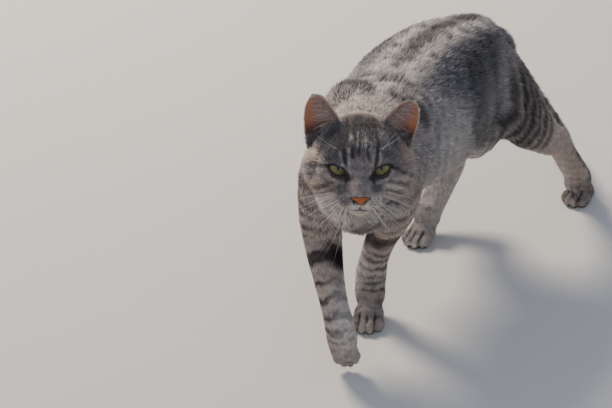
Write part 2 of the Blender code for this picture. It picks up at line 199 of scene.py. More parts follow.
headSet = {"rise": 13.0, "eyeForward": -0.78, "eyeApart": 1.9, "eyeLine": (8.83, -6.54, 23.8)}


def nodeMiddle(name):
    low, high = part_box(name)
    return np.array((low + high) / 2)


eyeMiddles = {"left": nodeMiddle("eye_left"), "right": nodeMiddle("eye_right")}
headLeft = unit(eyeMiddles["left"] - eyeMiddles["right"])
headRise = math.radians(headSet["rise"])
headForward = np.array([headLeft[1] * math.cos(headRise), -headLeft[0] * math.cos(headRise),
                        math.sin(headRise)])
headAxes = np.stack([headLeft, headForward, np.cross(headForward, headLeft)])
headOrigin = (eyeMiddles["left"] + eyeMiddles["right"]) / 2 - headForward * headSet["eyeForward"] / 100
bodyOrigin = np.array(headSet["eyeLine"]) - headOrigin * 100


def toHead(points):
    # centimetres to the cat's left, forward and up from the middle of its eye line
    return (points - headOrigin) @ headAxes.T * 100


def fromHead(points):
    return headOrigin + np.asarray(points, float) @ headAxes / 100


def toBody(points):
    return points * 100 + bodyOrigin


def fromBody(points):
    return (np.asarray(points, float) - bodyOrigin) / 100


bodyPaths = {  # x, y, z, half width, half depth
    "trunk": [(5.4, -1.2, 18.4, 3.4, 3.9), (4.95, 1, 18.9, 4.8, 5.2), (4.5, 4, 19.4, 5.5, 5.7),
              (4, 8, 19.2, 6, 6.2), (3.4, 12.5, 18.6, 6.6, 6.6), (3.1, 17, 18.3, 6.9, 7),
              (3.4, 21.5, 18.6, 6.3, 6.7), (4.1, 25.2, 19, 5.2, 5.6), (4.8, 27.6, 18.9, 4.1, 4.5),
              (5.1, 29, 19.2, 2.8, 3.2)],
    "neck": [(6.8, -3, 22.5, 4, 4.2), (5.9, -1, 21.7, 4.4, 4.5), (5.1, 1.6, 20.9, 4.7, 4.9),
             (4.5, 4.5, 20.2, 4.6, 5.1)],
    "foreLeft": [(5.9, 7.2, 24.2, 1.3, 2), (7, 5.4, 21.6, 1.9, 3.2), (7.7, 3.6, 17.8, 2.2, 3.2),
                 (6.8, 5, 14.2, 2, 2.9), (5.2, 6.9, 11, 1.75, 2.2), (4.1, 7.4, 8.6, 1.5, 1.7),
                 (3.25, 7.7, 6, 1.45, 1.4), (2.85, 8, 4.2, 1.6, 1.45), (3.05, 7.3, 2.1, 1.5, 1.35),
                 (3.65, 5.6, 1, 1.3, 1)],
    "foreRight": [(2.6, 6.2, 24.4, 1.3, 2), (1.7, 4.4, 21.6, 1.9, 3.2), (1.3, 1.8, 17.8, 2.4, 3.3),
                  (0.8, 1.8, 14, 2.1, 2.9), (0.8, 1.8, 10.9, 1.8, 2.1), (2.7, -0.8, 8.9, 1.5, 1.6),
                  (4.6, -3.1, 7.2, 1.35, 1.35), (5.55, -4, 5.9, 1.5, 1.25), (5.85, -4, 4.4, 1.55, 1.15),
                  (5.88, -3.8, 3.2, 1.45, 1.15), (5.9, -3.5, 2, 1.3, 1)],
    "hindLeft": [(6.7, 25.4, 20, 2.3, 3.5), (8.2, 25.9, 17.2, 2.6, 4), (9.7, 27.4, 14.1, 2.3, 3.4),
                 (10.6, 29.4, 11.8, 1.8, 2.4), (11, 31.6, 9.9, 1.35, 1.8), (11.05, 33.7, 8.4, 1.3, 1.4),
                 (11.4, 35.6, 5.8, 1.4, 1.25), (11.65, 37.5, 3.3, 1.45, 1.25), (11.8, 38.3, 1.8, 1.3, 1.2),
                 (12, 37.2, 1, 1.3, 1)],
    "hindRight": [(2.5, 25.8, 20, 2.3, 3.5), (1.2, 25, 17.2, 2.5, 4.1), (0.4, 23.6, 14, 2.2, 3.6),
                  (0.8, 24, 11.4, 1.9, 2.7), (1.3, 26.35, 8.8, 1.75, 1.85), (1.8, 27.95, 6.9, 1.55, 1.5),
                  (1.45, 26.85, 4.9, 1.5, 1.25), (1.1, 25.2, 2.9, 1.4, 1.15), (1.1, 24, 1.8, 1.35, 1.1),
                  (1.1, 22.4, 1, 1.3, 1)],
    "tail": [(5, 28.6, 20.4, 1.5, 1.6), (5.3, 30.6, 19, 1.4, 1.45), (6.5, 33.4, 15, 1.3, 1.3),
             (7.8, 35.9, 10.8, 1.25, 1.25), (8.5, 38.6, 7.2, 1.2, 1.2), (8.3, 41.3, 4.2, 1.15, 1.15),
             (7.7, 43.9, 2.5, 0.95, 0.95), (7.2, 45.7, 2.2, 0.5, 0.5)],
}
finePaths = {name: finePath(rows) for name, rows in bodyPaths.items()}
legNames = ("foreLeft", "foreRight", "hindLeft", "hindRight")


def pathLengths(fine):
    steps = np.linalg.norm(np.diff(fine[:, :3], axis=0), axis=1)
    return np.concatenate([[0], np.cumsum(steps)])


def alongPath(points, fine):
    # for each point: the length of path up to its nearest place, the path's heading there, the offset
    # square to it, and the distance as a share of the body's half thickness there
    nearest = np.concatenate([
        ((block[:, None] - fine[None, :, :3]) ** 2).sum(2).argmin(1)
        for block in np.array_split(points, max(1, len(points) // 15000))])
    heading = unit(np.gradient(fine[:, :3], axis=0))[nearest]
    away = points - fine[nearest, :3]
    slip = (away * heading).sum(1)
    ends = (nearest == 0) | (nearest == len(fine) - 1)
    along = pathLengths(fine)[nearest] + np.where(ends, 0, slip)
    share = np.linalg.norm(away, axis=1) / fine[nearest, 3:5].mean(1)
    return {"along": along, "heading": heading, "offset": away - slip[:, None] * heading, "share": share}


def lengthAtHeight(name, height):
    # how far along a leg's path it comes down to this height
    fine = finePaths[name]
    return float(np.interp(-height, -fine[:, 2], pathLengths(fine)))


# The head's shape

headForms = {  # place and half size of each oval, in the head's own centimetres, and how softly it joins
    "single": [((0, -3.9, 0.75), (4.1, 4.3, 3.65), 0.3), ((0, -1.4, 0.9), (3.1, 2.1, 2.3), 0.8),
               ((0, -2.6, -1.6), (3.6, 3.4, 2.6), 0.6), ((0, -0.1, -1.7), (2.1, 2.2, 1.7), 0.5),
               ((0, -1.6, -2.9), (2.2, 2.5, 1.1), 0.5)],
    "paired": [((2.85, -4.3, -0.6), (2.25, 3.2, 2.8), 0.6), ((2.9, -2.4, -1.7), (1.5, 2, 1.5), 0.5),
               ((1.75, -1.1, 1.2), (1.5, 1.1, 0.75), 0.5), ((2.75, -1.25, 0), (0.85, 1.05, 0.8), 0.9)],
    "bridge": [(0, -0.6, 1.2, 1.1), (0, 0.4, 0.1, 0.78), (0, 1.3, -0.9, 0.66), (0, 1.85, -1.6, 0.58)],
    "pads": ((0.88, 1.1, -2.35), (1.12, 1.22, 0.92), 0.22),
    "chin": ((0, 0.4, -3.2), (1.1, 1.4, 0.74), 0.3),
    "lidBall": 1.1, "lidBlend": 0.22,
}


def ovalDistance(p, centre, half):
    # distance to an oval, near enough close to its surface: the scaled radius over the slope of that radius
    scaled = (p - np.array(centre)) / np.array(half)
    radius = np.linalg.norm(scaled, axis=1)
    slope = np.linalg.norm(scaled / np.array(half), axis=1)
    return radius * (radius - 1) / np.maximum(slope, 1e-6)


def rodDistance(p, start, end, startRadius, endRadius):
    # distance to a rod whose radius changes evenly from one end to the other
    start, end = np.array(start, float), np.array(end, float)
    span = end - start
    t = np.clip((p - start) @ span / (span @ span), 0, 1)
    radius = startRadius + (endRadius - startRadius) * t
    return np.linalg.norm(p - start - t[:, None] * span, axis=1) - radius


def lineDistance(points, line):
    # distance to the nearest place on a line of straight spans
    line = np.asarray(line, float)
    best = np.full(len(points), 1e9)
    for start, end in zip(line[:-1], line[1:]):
        best = np.minimum(best, rodDistance(points, start, end, 0, 0))
    return best


def spotDistance(points, spot, radius):
    return np.linalg.norm((points - np.array(spot)) / np.array(radius), axis=1)


def blend(a, b, width):
    # the smaller of two distances, with the crease between them filled over about `width`
    h = np.maximum(width - np.abs(a - b), 0) / width
    return np.minimum(a, b) - h * h * width / 4


def carve(a, b, width):
    # the first shape with the second cut out of it, its edge eased over about `width`
    return -blend(-a, b, width)


def headDepth(p):
    # how deep the coat lies over the head's skin: thin on the face and muzzle, deeper over crown and cheeks
    face = smooth(p[:, 1], -2.6, 0.2)
    muzzle = smooth(p[:, 1], 0.6, 1.6)
    return 0.42 - 0.28 * face - 0.05 * muzzle


mouthPath = [(0, 2.06, -3.05), (0.3, 2.05, -3.13), (0.65, 1.87, -3.15), (1.1, 1.42, -3.06),
             (1.6, 0.77, -2.94), (2.05, 0.0, -2.78)]


def headDistance(p, coat=True):
    # the head's surface: ovals for skull, cheeks, brows, jaw and muzzle joined softly, then the mouth,
    # the groove below the nose and the hollows beside the nose cut in; with coat, less the coat's depth
    mirrored = p.copy()
    mirrored[:, 0] = np.abs(p[:, 0])
    d = None
    for centre, half, width in headForms["single"]:
        oval = ovalDistance(p, centre, half)
        d = oval if d is None else blend(d, oval, width)
    for centre, half, width in headForms["paired"]:
        d = blend(d, ovalDistance(mirrored, centre, half), width)
    rods = headForms["bridge"]
    for first, second in zip(rods[:-1], rods[1:]):
        d = blend(d, rodDistance(p, first[:3], second[:3], first[3], second[3]), 0.35)
    d = blend(d, ovalDistance(mirrored, *headForms["pads"][:2]), headForms["pads"][2])
    d = blend(d, ovalDistance(p, *headForms["chin"][:2]), headForms["chin"][2])
    d = d + (headDepth(p) if coat else 0)
    eyeMiddle = [headSet["eyeApart"], headSet["eyeForward"], 0]
    ball = np.linalg.norm(mirrored - eyeMiddle, axis=1) - headForms["lidBall"]
    d = blend(d, ball, headForms["lidBlend"])
    for first, second in zip(mouthPath[:-1], mouthPath[1:]):
        d = carve(d, rodDistance(mirrored, first, second, 0.07, 0.06), 0.08)
    d = carve(d, rodDistance(p, (0, 2.32, -2.3), (0, 2.12, -3.05), 0.05, 0.06), 0.08)
    d = carve(d, rodDistance(mirrored, (1.02, 0.5, -0.62), (1.2, 1.05, -1.15), 0.13, 0.05), 0.25)
    return d


def slopeOf(distance, p, step=0.01):
    # which way a distance grows fastest, from differences along each axis
    return np.stack([(distance(p + e) - distance(p - e)) / (2 * step) for e in np.eye(3) * step], 1)


def ontoHead(lu, front=3.2, rounds=40):
    # places seen from straight ahead, brought back along the head's axis until they meet its skin
    p = np.column_stack([lu[:, 0], np.full(len(lu), front), lu[:, 1]])
    for _ in range(rounds):
        p[:, 1] -= 0.8 * headDistance(p)
    return p


def ontoSkin(line):
    # a smooth line through the places, each brought to the head's skin the shortest way
    p = finePath(line, 3)
    held = smooth(p[:, 1], -5, -3.2)[:, None]
    for _ in range(4):
        slope = slopeOf(headDistance, p)
        step = headDistance(p)[:, None] * slope / np.maximum((slope ** 2).sum(1, keepdims=True), 0.2)
        p = p - held * np.clip(step, -0.4, 0.4)
    return p


eyeOpening = {  # outline of the opening for the left eye: out from the eye's middle, and up
    "outline": [(0.88, 0.48), (0.55, 0.6), (0.08, 0.55), (-0.38, 0.38), (-0.64, 0.08), (-0.92, -0.74),
                (-0.6, -0.44), (-0.18, -0.44), (0.28, -0.3), (0.66, 0.04)],
    "pocket": 0.9, "deepest": 0.3,
}


def closedCurve(points, steps):
    # a smooth closed curve through the points
    p = np.asarray(points, float)
    return finePath(np.vstack([p[-2:], p, p[:2]]), steps)[steps * 2:-steps * 1 - 1]


openingCurve = closedCurve(eyeOpening["outline"], 8)


def insideDistance(points, outline):
    # distance from points to a closed outline, negative inside, from the nearest edge and the winding
    a, b = outline, np.roll(outline, -1, axis=0)
    span = b - a
    away = points[:, None] - a[None]
    t = np.clip((away * span).sum(2) / (span * span).sum(1), 0, 1)
    near = np.linalg.norm(away - t[..., None] * span, axis=2).min(1)
    over = (a[None, :, 1] > points[:, None, 1]) != (b[None, :, 1] > points[:, None, 1])
    rise = np.where(np.abs(span[:, 1]) < 1e-9, 1e-9, span[:, 1])
    crossing = a[:, 0] + (points[:, None, 1] - a[:, 1]) / rise * span[:, 0]
    inside = (over & (points[:, None, 0] < crossing)).sum(1) % 2 == 1
    return np.where(inside, -near, near)


# The skin

skinSet = {"voxel": 0.0024, "swell": 0.0004, "smoothing": 10}
fleshNodes = ["head", "neck", "trunk", "tail", "front_leg_left", "front_leg_right", "hind_leg_left",
              "hind_leg_right", "front_paw_left", "front_paw_right", "hind_paw_left", "hind_paw_right"]
pawSet = {  # middle, the way the toes point, the way the back of the paw faces, and size
    "foreLeft": ((3.65, 6.0, 0.92), (0.33, -0.94, 0), (0, 0, 1), 1.16),
    "foreRight": ((5.9, -3.5, 2.55), (0, 0.28, -0.96), (0.3, -0.92, -0.25), 1.03),
    "hindLeft": ((11.95, 38.2, 0.9), (-0.12, -0.99, 0), (0, 0, 1), 1.08),
    "hindRight": ((1.1, 22.9, 0.9), (-0.08, -1, 0), (0, 0, 1), 1.1),
}
toeSet = {"half": (0.5, 0.95, 0.62), "drop": 0.3,
          "places": [(-0.93, 0.85), (-0.33, 1.3), (0.33, 1.3), (0.93, 0.85)],
          "hanging": [(-0.82, 0.8), (-0.3, 1.25), (0.3, 1.3), (0.82, 0.9)]}


def vertexArrays(mesh):
    points = np.empty(len(mesh.vertices) * 3, np.float32)
    normals = np.empty_like(points)
    mesh.vertices.foreach_get("co", points)
    mesh.vertex_normals.foreach_get("vector", normals)
    return points.reshape(-1, 3).astype(float), normals.reshape(-1, 3).astype(float)


def solidCopy(name, swell):
    # a CAD node's mesh with its loose corners merged, moved out a little along its normals
    shape = bmesh.new()
    shape.from_mesh(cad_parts[name].data)
    bmesh.ops.remove_doubles(shape, verts=shape.verts, dist=1e-5)
    bmesh.ops.triangulate(shape, faces=shape.faces)
    mesh = bpy.data.meshes.new("copy")
    shape.to_mesh(mesh)
    shape.free()
    points, normals = vertexArrays(mesh)
    faces = np.empty(len(mesh.polygons) * 3, np.int32)
    mesh.loops.foreach_get("vertex_index", faces)
    bpy.data.meshes.remove(mesh)
    return points + normals * swell, faces.reshape(-1, 3)


def relax(values, edges, rounds, share=0.5, back=-0.52):
    # smooths without shrinking: each vertex moves toward the mean of its neighbours, then back again
    count = np.bincount(edges.ravel(), minlength=len(values))[:, None]
    for turn in range(rounds * 2):
        total = np.stack([
            np.bincount(edges[:, 0], values[edges[:, 1], k], len(values))
            + np.bincount(edges[:, 1], values[edges[:, 0], k], len(values))
            for k in range(values.shape[1])], 1)
        values = values + (share if turn % 2 == 0 else back) * (total / np.maximum(count, 1) - values)
    return values


def edgeArray(mesh):
    edges = np.empty(len(mesh.edges) * 2, np.int32)
    mesh.edges.foreach_get("vertices", edges)
    return edges.reshape(-1, 2)


def refine(mesh, chosen):
    # halves every edge whose two ends are both chosen
    edges = edgeArray(mesh)
    wanted = chosen[edges].all(1)
    shape = bmesh.new()
    shape.from_mesh(mesh)
    shape.edges.ensure_lookup_table()
    bmesh.ops.subdivide_edges(shape, edges=[shape.edges[i] for i in np.flatnonzero(wanted)], cuts=1,
                              use_grid_fill=True)
    shape.to_mesh(mesh)
    shape.free()


def pawAxes(name):
    # a paw's middle, its axes across, toward the toes and up out of its back, and its size
    middle, reach, up, size = pawSet[name]
    reach = unit(np.array(reach, float))
    up = np.array(up, float)
    up = unit(up - reach * (up @ reach))
    return np.array(middle, float), np.stack([np.cross(reach, up), reach, up]), size


def pawPlace(name, body):
    # a point's place on a paw, along the paw's own axes and for a paw of size one
    middle, axes, size = pawAxes(name)
    return (body - middle) @ axes.T / size


def pawDistance(p, places):
    # the paw's palm with four toes, creased where they meet
    d = ovalDistance(p, (0, 0, 0), (1.2, 1.5, 0.95))
    toes = None
    for across, ahead in places:
        toe = ovalDistance(p, (across, ahead, -toeSet["drop"]), toeSet["half"])
        toes = toe if toes is None else blend(toes, toe, 0.06)
    return blend(d, toes, 0.3) + 0.1


def nearFace(body):
    head = toHead(fromBody(body))
    return (head[:, 1] > -3.2) & (np.abs(head[:, 0]) < 5.2) & (head[:, 2] > -4.6) & (head[:, 2] < 4.6)


def nearFeatures(body):
    head = toHead(fromBody(body))
    return (head[:, 1] > -0.9) & (np.abs(head[:, 0]) < 3.1) & (head[:, 2] > -3.7) & (head[:, 2] < 1.3)


print("skin: joining the solids")
solids = joined([solidCopy(name, skinSet["swell"]) for name in fleshNodes
                 + ["nose", "eye_left", "eye_right"]])
block = bpy.data.objects.new("block", bpy.data.meshes.new("block"))
block.data.from_pydata(solids[0].tolist(), [], solids[1].tolist())
bpy.context.scene.collection.objects.link(block)
remesh = block.modifiers.new("remesh", "REMESH")
remesh.mode = "VOXEL"
remesh.voxel_size = skinSet["voxel"]
skinMesh = bpy.data.meshes.new_from_object(block.evaluated_get(bpy.context.evaluated_depsgraph_get()))
bpy.data.objects.remove(block)
skinPoints = vertexArrays(skinMesh)[0]
skinPoints = relax(skinPoints, edgeArray(skinMesh), skinSet["smoothing"])
skinMesh.vertices.foreach_set("co", skinPoints.astype(np.float32).ravel())
skinMesh.update()
body = toBody(skinPoints)
nearPaws = np.any([np.linalg.norm(body - np.array(place[0]), axis=1) < 2.9 for place in pawSet.values()],
                  axis=0)
refine(skinMesh, nearFace(body) | nearPaws)
refine(skinMesh, nearFeatures(toBody(vertexArrays(skinMesh)[0])))
skinPoints, skinNormals = vertexArrays(skinMesh)
skinEdges = edgeArray(skinMesh)
skinPoints = relax(skinPoints, skinEdges, 3)
print("skin:", len(skinPoints), "vertices,", len(skinMesh.polygons), "faces")


# Which part of the body each place on the skin belongs to

coatSet = {  # length of the hairs, width of a tuft and depth of the coat, in centimetres
    "trunk": (1.3, 0.075, 0.44), "neck": (1.3, 0.075, 0.48), "tail": (1.25, 0.07, 0.42),
    "upperLeg": (0.95, 0.068, 0.32), "lowerLeg": (0.5, 0.052, 0.17), "paw": (0.28, 0.044, 0.07),
    "crown": (0.8, 0.054, 0.32), "cheek": (1.1, 0.056, 0.42), "face": (0.42, 0.04, 0.1),
    "muzzle": (0.27, 0.034, 0.05),
}
legWhole = {name: pathLengths(finePaths[name])[-1] for name in legNames}
bladeFringe = [(3.4, 7.3, 25.3), (4.6, 8.2, 25.3), (6, 8.2, 25.1), (7.6, 7.2, 25.1), (8.6, 7, 24.5),
               (9.2, 7, 23.6), (9.6, 7.2, 22)]


def bodyMap(points):
    # each region's share of every point, from how near its path passes for its thickness; the head's
    # nearness comes from its own shape
    body = toBody(points)
    found = {name: alongPath(body, fine) for name, fine in finePaths.items()}
    near = {name: data["share"] for name, data in found.items()}
    near["head"] = 1 + headDistance(toHead(points), coat=False) / 3.4
    for name in legNames:
        # the trunk wins at the shoulder and hip
        near[name] = near[name] + 0.35 * smooth(found[name]["along"], 7, 2)
    names = list(near)
    nearness = np.stack([near[name] for name in names], 1)
    share = np.exp(-9 * (nearness - nearness.min(1, keepdims=True)))
    share /= share.sum(1, keepdims=True)
    return {"body": body, "head": toHead(points), "paths": found,
            "share": {name: share[:, i] for i, name in enumerate(names)}, "names": names}


def coatSize(place):
    # length, width and depth of the coat at each place, mixed from the regions' own
    size = np.zeros((len(place["body"]), 3))
    for name in ("trunk", "neck", "tail"):
        size += place["share"][name][:, None] * np.array(coatSet[name])
    for name in legNames:
        down = place["paths"][name]["along"] / legWhole[name]
        lower, foot = smooth(down, 0.42, 0.62)[:, None], smooth(down, 0.86, 0.95)[:, None]
        leg = np.array(coatSet["upperLeg"]) * (1 - lower) + np.array(coatSet["lowerLeg"]) * lower
        size += place["share"][name][:, None] * (leg * (1 - foot) + np.array(coatSet["paw"]) * foot)
    head = place["head"]
    face = smooth(head[:, 1], -2.4, 0.1)[:, None]
    muzzle = smooth(head[:, 1], 0.5, 1.7)[:, None]
    side = smooth(np.abs(head[:, 0]), 1.8, 3.4)[:, None] * smooth(head[:, 2], 1.8, -0.2)[:, None]
    under = smooth(head[:, 2], -2.2, -3.8)[:, None] * smooth(head[:, 1], 1.2, -0.4)[:, None]
    loose = np.maximum(side, under)
    back = np.array(coatSet["crown"]) * (1 - loose) + np.array(coatSet["cheek"]) * loose
    front = np.array(coatSet["face"]) * (1 - muzzle) + np.array(coatSet["muzzle"]) * muzzle
    size += place["share"]["head"][:, None] * (back * (1 - face) + front * face)
    breast = smooth(place["body"][:, 1], 3, 0) * smooth(place["body"][:, 2], 20, 17)
    groin = (smooth(place["body"][:, 1], 15, 18) * smooth(place["body"][:, 2], 15.5, 14)
             * place["share"]["trunk"])
    size[:, [0, 2]] *= 1 - 0.28 * breast[:, None] - 0.4 * groin[:, None]
    fringe = smooth(lineDistance(place["body"], bladeFringe), 0.8, 0.2)
    size[:, 2] *= 1 + 0.5 * fringe
    return size


place = bodyMap(skinPoints)

# wrists and ankles are smoothed, so that each leg runs into its paw without a crease
wristHeights = {"foreLeft": 2.6, "foreRight": 4.3, "hindLeft": 2.6, "hindRight": 2.5}
wrist = np.zeros(len(skinPoints))
for name, height in wristHeights.items():
    off = np.abs(place["paths"][name]["along"] - lengthAtHeight(name, height))
    wrist += place["share"][name] * smooth(off, 2.2, 0.8)
skinPoints = (skinPoints + np.clip(wrist, 0, 1)[:, None]
              * (relax(skinPoints, skinEdges, 14, 0.5, 0.0) - skinPoints))
skinDepth = coatSize(place)[:, 2]

# the head's skin is brought onto the head's own shape, and the rest moves in by the coat's depth
head = place["head"].copy()
onHead = smooth(head[:, 1], -5.2, -2.8) * smooth(place["share"]["head"], 0.15, 0.5)
for _ in range(5):
    picked = onHead > 0
    p = head[picked]
    slope = slopeOf(headDistance, p)
    step = headDistance(p)[:, None] * slope / np.maximum((slope ** 2).sum(1, keepdims=True), 0.2)
    head[picked] = p - np.clip(step, -0.25, 0.25) * onHead[picked, None]
skinPoints = fromHead(head) - skinNormals * (skinDepth * (1 - onHead) / 100)[:, None]

# the nape is smoothed where the head runs into the neck
nape = (smooth(4 * place["share"]["head"] * place["share"]["neck"], 0.1, 0.7)
        * smooth(place["head"][:, 2], -0.5, 1.5))
skinPoints = skinPoints + nape[:, None] * (relax(skinPoints, skinEdges, 20, 0.5, 0.0) - skinPoints)

# toes
body = toBody(skinPoints)
for name in pawSet:
    local = pawPlace(name, body)
    weight = (smooth(local[:, 1], -0.1, 0.6) * smooth(local[:, 2], 1.2, 0.8)
              * (np.linalg.norm(local, axis=1) < 3))
    weight = weight * (place["share"][name] > 0.3)
    picked = weight > 0
    p = local[picked]
    moved = p.copy()
    places = toeSet["hanging" if name == "foreRight" else "places"]
    for _ in range(5):
        slope = slopeOf(lambda q: pawDistance(q, places), moved)
        step = (pawDistance(moved, places)[:, None] * slope
                / np.maximum((slope ** 2).sum(1, keepdims=True), 0.2))
        moved = moved - np.clip(step, -0.2, 0.2)
    axes, size = pawAxes(name)[1:]
    body[picked] += (moved - p) * weight[picked, None] @ axes * size
# the soles lie just clear of the floor
body[:, 2] = np.maximum(body[:, 2], 0.06 + 0.02 * waves(body, 1.2, 3))
skinPoints = fromBody(body)

# the openings of the eyes: inside each outline the skin drops back to a pocket behind the eyeball's front
head = toHead(skinPoints)
eyeGap = np.full(len(head), 9.0)
for side in (1, -1):
    middle = np.array([side * headSet["eyeApart"], headSet["eyeForward"], 0])
    away = head - middle
    radius = np.linalg.norm(away, axis=1)
    near = np.flatnonzero((away[:, 1] > -0.3) & (radius < 2.2))
    gap = insideDistance(np.column_stack([away[near, 0] * side, away[near, 2]]), openingCurve)
    eyeGap[near] = np.minimum(eyeGap[near], gap)
    sink = smooth(gap, 0.03, -0.05)
    target = np.maximum(eyeOpening["pocket"], radius[near] - eyeOpening["deepest"])
    scale = 1 + (np.minimum(target, radius[near]) / radius[near] - 1) * sink
    head[near] = middle + away[near] * scale[:, None]
skinPoints = fromHead(head)
skinMesh.vertices.foreach_set("co", skinPoints.astype(np.float32).ravel())
skinMesh.update()
skinNormals = vertexArrays(skinMesh)[1]
place = bodyMap(skinPoints)
coatSizes = coatSize(place)
coatSizes[:, 0] *= 0.4 + 0.6 * smooth(eyeGap, 0.05, 0.45)  # short down by the lids
print("skin: shaped")


# Markings
# Four numbers for each place on the skin: stripe (near black), shade (slate), warm (beige), pale (white).

def paint(field, amount):
    # lays one coat of colour over another: what is left bare shrinks by the new amount
    return 1 - (1 - field) * (1 - np.clip(amount, 0, 1))


faceStrokes = [  # colour, strength, half width, and places in the head's centimetres
    ("stripe", 0.97, 0.15, [(-0.3, -7.5, 3.9), (-0.28, -3.9, 4.3), (-0.4, -2.1, 3.9), (-0.5, -1.0, 3.3),
                            (-0.42, -0.3, 2.75), (-0.66, 0.26, 2.0), (-0.65, 0.5, 1.4)]),
    ("stripe", 0.97, 0.13, [(0.4, -7.5, 3.9), (0.3, -4.2, 4.3), (0.22, -2.05, 3.94), (0.03, -1.1, 3.45),
                            (0.02, -0.3, 2.76), (-0.08, 0.25, 2.18), (-0.08, 0.5, 1.6)]),
    ("stripe", 0.97, 0.12, [(0.67, -2.4, 4.0), (0.9, -0.93, 3.14), (0.8, -0.08, 2.45), (0.67, 0.36, 1.84),
                            (0.78, 0.5, 1.25)]),
    ("stripe", 0.97, 0.14, [(-1.2, -5.5, 4.0), (-1.15, -3.0, 4.0), (-1.2, -1.57, 3.52), (-1.21, -0.85, 2.98),
                           (-1.3, -0.2, 2.42), (-1.33, 0.2, 1.7), (-1.25, 0.42, 0.9)]),
    ("stripe", 0.97, 0.14, [(1.3, -5.5, 4.0), (1.2, -3.0, 4.0), (1.35, -1.24, 3.24), (1.52, -0.64, 2.67),
                            (1.55, 0.0, 1.92), (1.42, 0.35, 1.1), (1.36, 0.4, 0.6)]),
    ("stripe", 0.8, 0.2, [(1.04, -0.97, 3.13), (1.1, -1.1, 3.2)]),
    ("stripe", 0.97, 0.13, [(-2.75, -0.25, 0.42), (-3.3, -0.5, 0.4), (-3.95, -1.5, 0.2), (-4.75, -3.05, -0.3),
                            (-4.9, -4.6, -1.1)]),
    ("stripe", 0.97, 0.13, [(2.76, -0.23, 0.35), (3.25, -0.4, 0.16), (3.86, -1.52, -0.4), (4.5, -2.4, -0.95),
                            (4.9, -4.4, -1.6)]),
    ("stripe", 0.7, 0.17, [(-2.4, -0.3, -1.0), (-3.2, -0.65, -1.5), (-4.1, -1.5, -1.9), (-4.6, -3.2, -2.4)]),
    ("stripe", 0.7, 0.17, [(2.6, -0.45, -1.0), (3.4, -0.8, -1.3), (4.3, -2.08, -1.9), (4.7, -3.8, -2.6)]),
    ("stripe", 0.6, 0.14, [(2.4, -0.15, -1.8), (3.2, -0.62, -2.0), (4.05, -1.6, -2.6)]),
    ("stripe", 0.6, 0.14, [(-2.4, -0.15, -1.8), (-3.2, -0.62, -2.1), (-4.05, -1.6, -2.7)]),
    ("stripe", 0.97, 0.14, [(-1.0, 0.4, -0.5), (-0.98, 0.75, -0.8), (-1.0, 1.1, -1.05)]),
    ("stripe", 0.97, 0.14, [(1.0, 0.4, -0.5), (1.02, 0.8, -0.8), (1.1, 1.1, -1.1)]),
    ("stripe", 0.85, 0.07, [(-0.86, 1.9, -2.0), (-0.5, 2.15, -2.3), (-0.12, 2.3, -2.6)]),
    ("stripe", 0.85, 0.07, [(0.9, 1.9, -2.0), (0.55, 2.15, -2.3), (0.16, 2.3, -2.6)]),
    ("stripe", 0.7, 0.07, [(-0.4, 0.4, 1.35), (-0.36, 0.1, 2.1), (-0.3, -0.4, 2.9)]),
    ("stripe", 0.7, 0.06, [(0.3, 0.5, 1.0), (0.3, 0.3, 1.7), (0.36, -0.2, 2.6)]),
    ("stripe", 0.6, 0.06, [(-1.05, 0.3, 1.5), (-1.0, -0.1, 2.3), (-0.9, -0.8, 3.1)]),
    ("stripe", 0.6, 0.06, [(1.15, 0.3, 1.5), (1.15, -0.1, 2.3), (1.1, -0.8, 3.0)]),
    ("stripe", 0.8, 0.1, [(-2.0, 0.1, 1.5), (-1.75, -0.1, 2.2), (-1.6, -0.9, 3.0)]),
    ("pale", 0.55, 0.08, [(-1.64, 0.1, 1.75), (-1.6, 0.3, 1.1), (-1.55, 0.33, 0.7)]),
    ("pale", 0.5, 0.08, [(-0.98, 0.15, 2.0), (-0.92, 0.45, 1.15), (-0.95, 0.5, 0.44), (-0.85, 0.8, -0.2)]),
    ("pale", 0.5, 0.08, [(1.25, 0.15, 1.9), (1.2, 0.42, 1.3), (1.08, 0.5, 0.5), (0.92, 0.7, -0.1)]),
    ("pale", 0.6, 0.08, [(1.8, 0.0, 1.7), (1.8, 0.2, 1.1), (1.7, 0.3, 0.7)]),
    ("pale", 0.55, 0.07, [(0.6, -0.3, 2.75), (0.98, -0.05, 2.3), (0.7, 0.25, 1.95)]),
    ("pale", 0.35, 0.06, [(-0.75, -0.9, 3.2), (-0.85, -0.3, 2.7)]),
    ("pale", 0.35, 0.05, [(-0.2, 0.3, 2.0), (-0.16, -0.2, 2.7), (-0.1, -0.9, 3.3)]),
    ("pale", 0.3, 0.05, [(0.5, 0.2, 2.1), (0.5, -0.5, 3.0)]),
    ("pale", 0.3, 0.05, [(-0.62, 0.0, 2.4), (-0.66, -0.7, 3.1)]),
    ("pale", 0.5, 0.12, [(-2.8, -0.25, -0.3), (-2.4, 0.0, -0.72), (-1.9, 0.15, -0.95), (-1.35, 0.75, -1.0)]),
    ("pale", 0.5, 0.12, [(2.8, -0.25, -0.3), (2.4, 0.0, -0.72), (1.9, 0.15, -0.95), (1.4, 0.75, -1.0)]),
]


def band(value, centre, half, edge=0.5):
    # 1 in the middle of a band, fading to 0 over its edges
    return 1 - smooth(np.abs(value - centre), half * (1 - edge), half * (1 + edge))


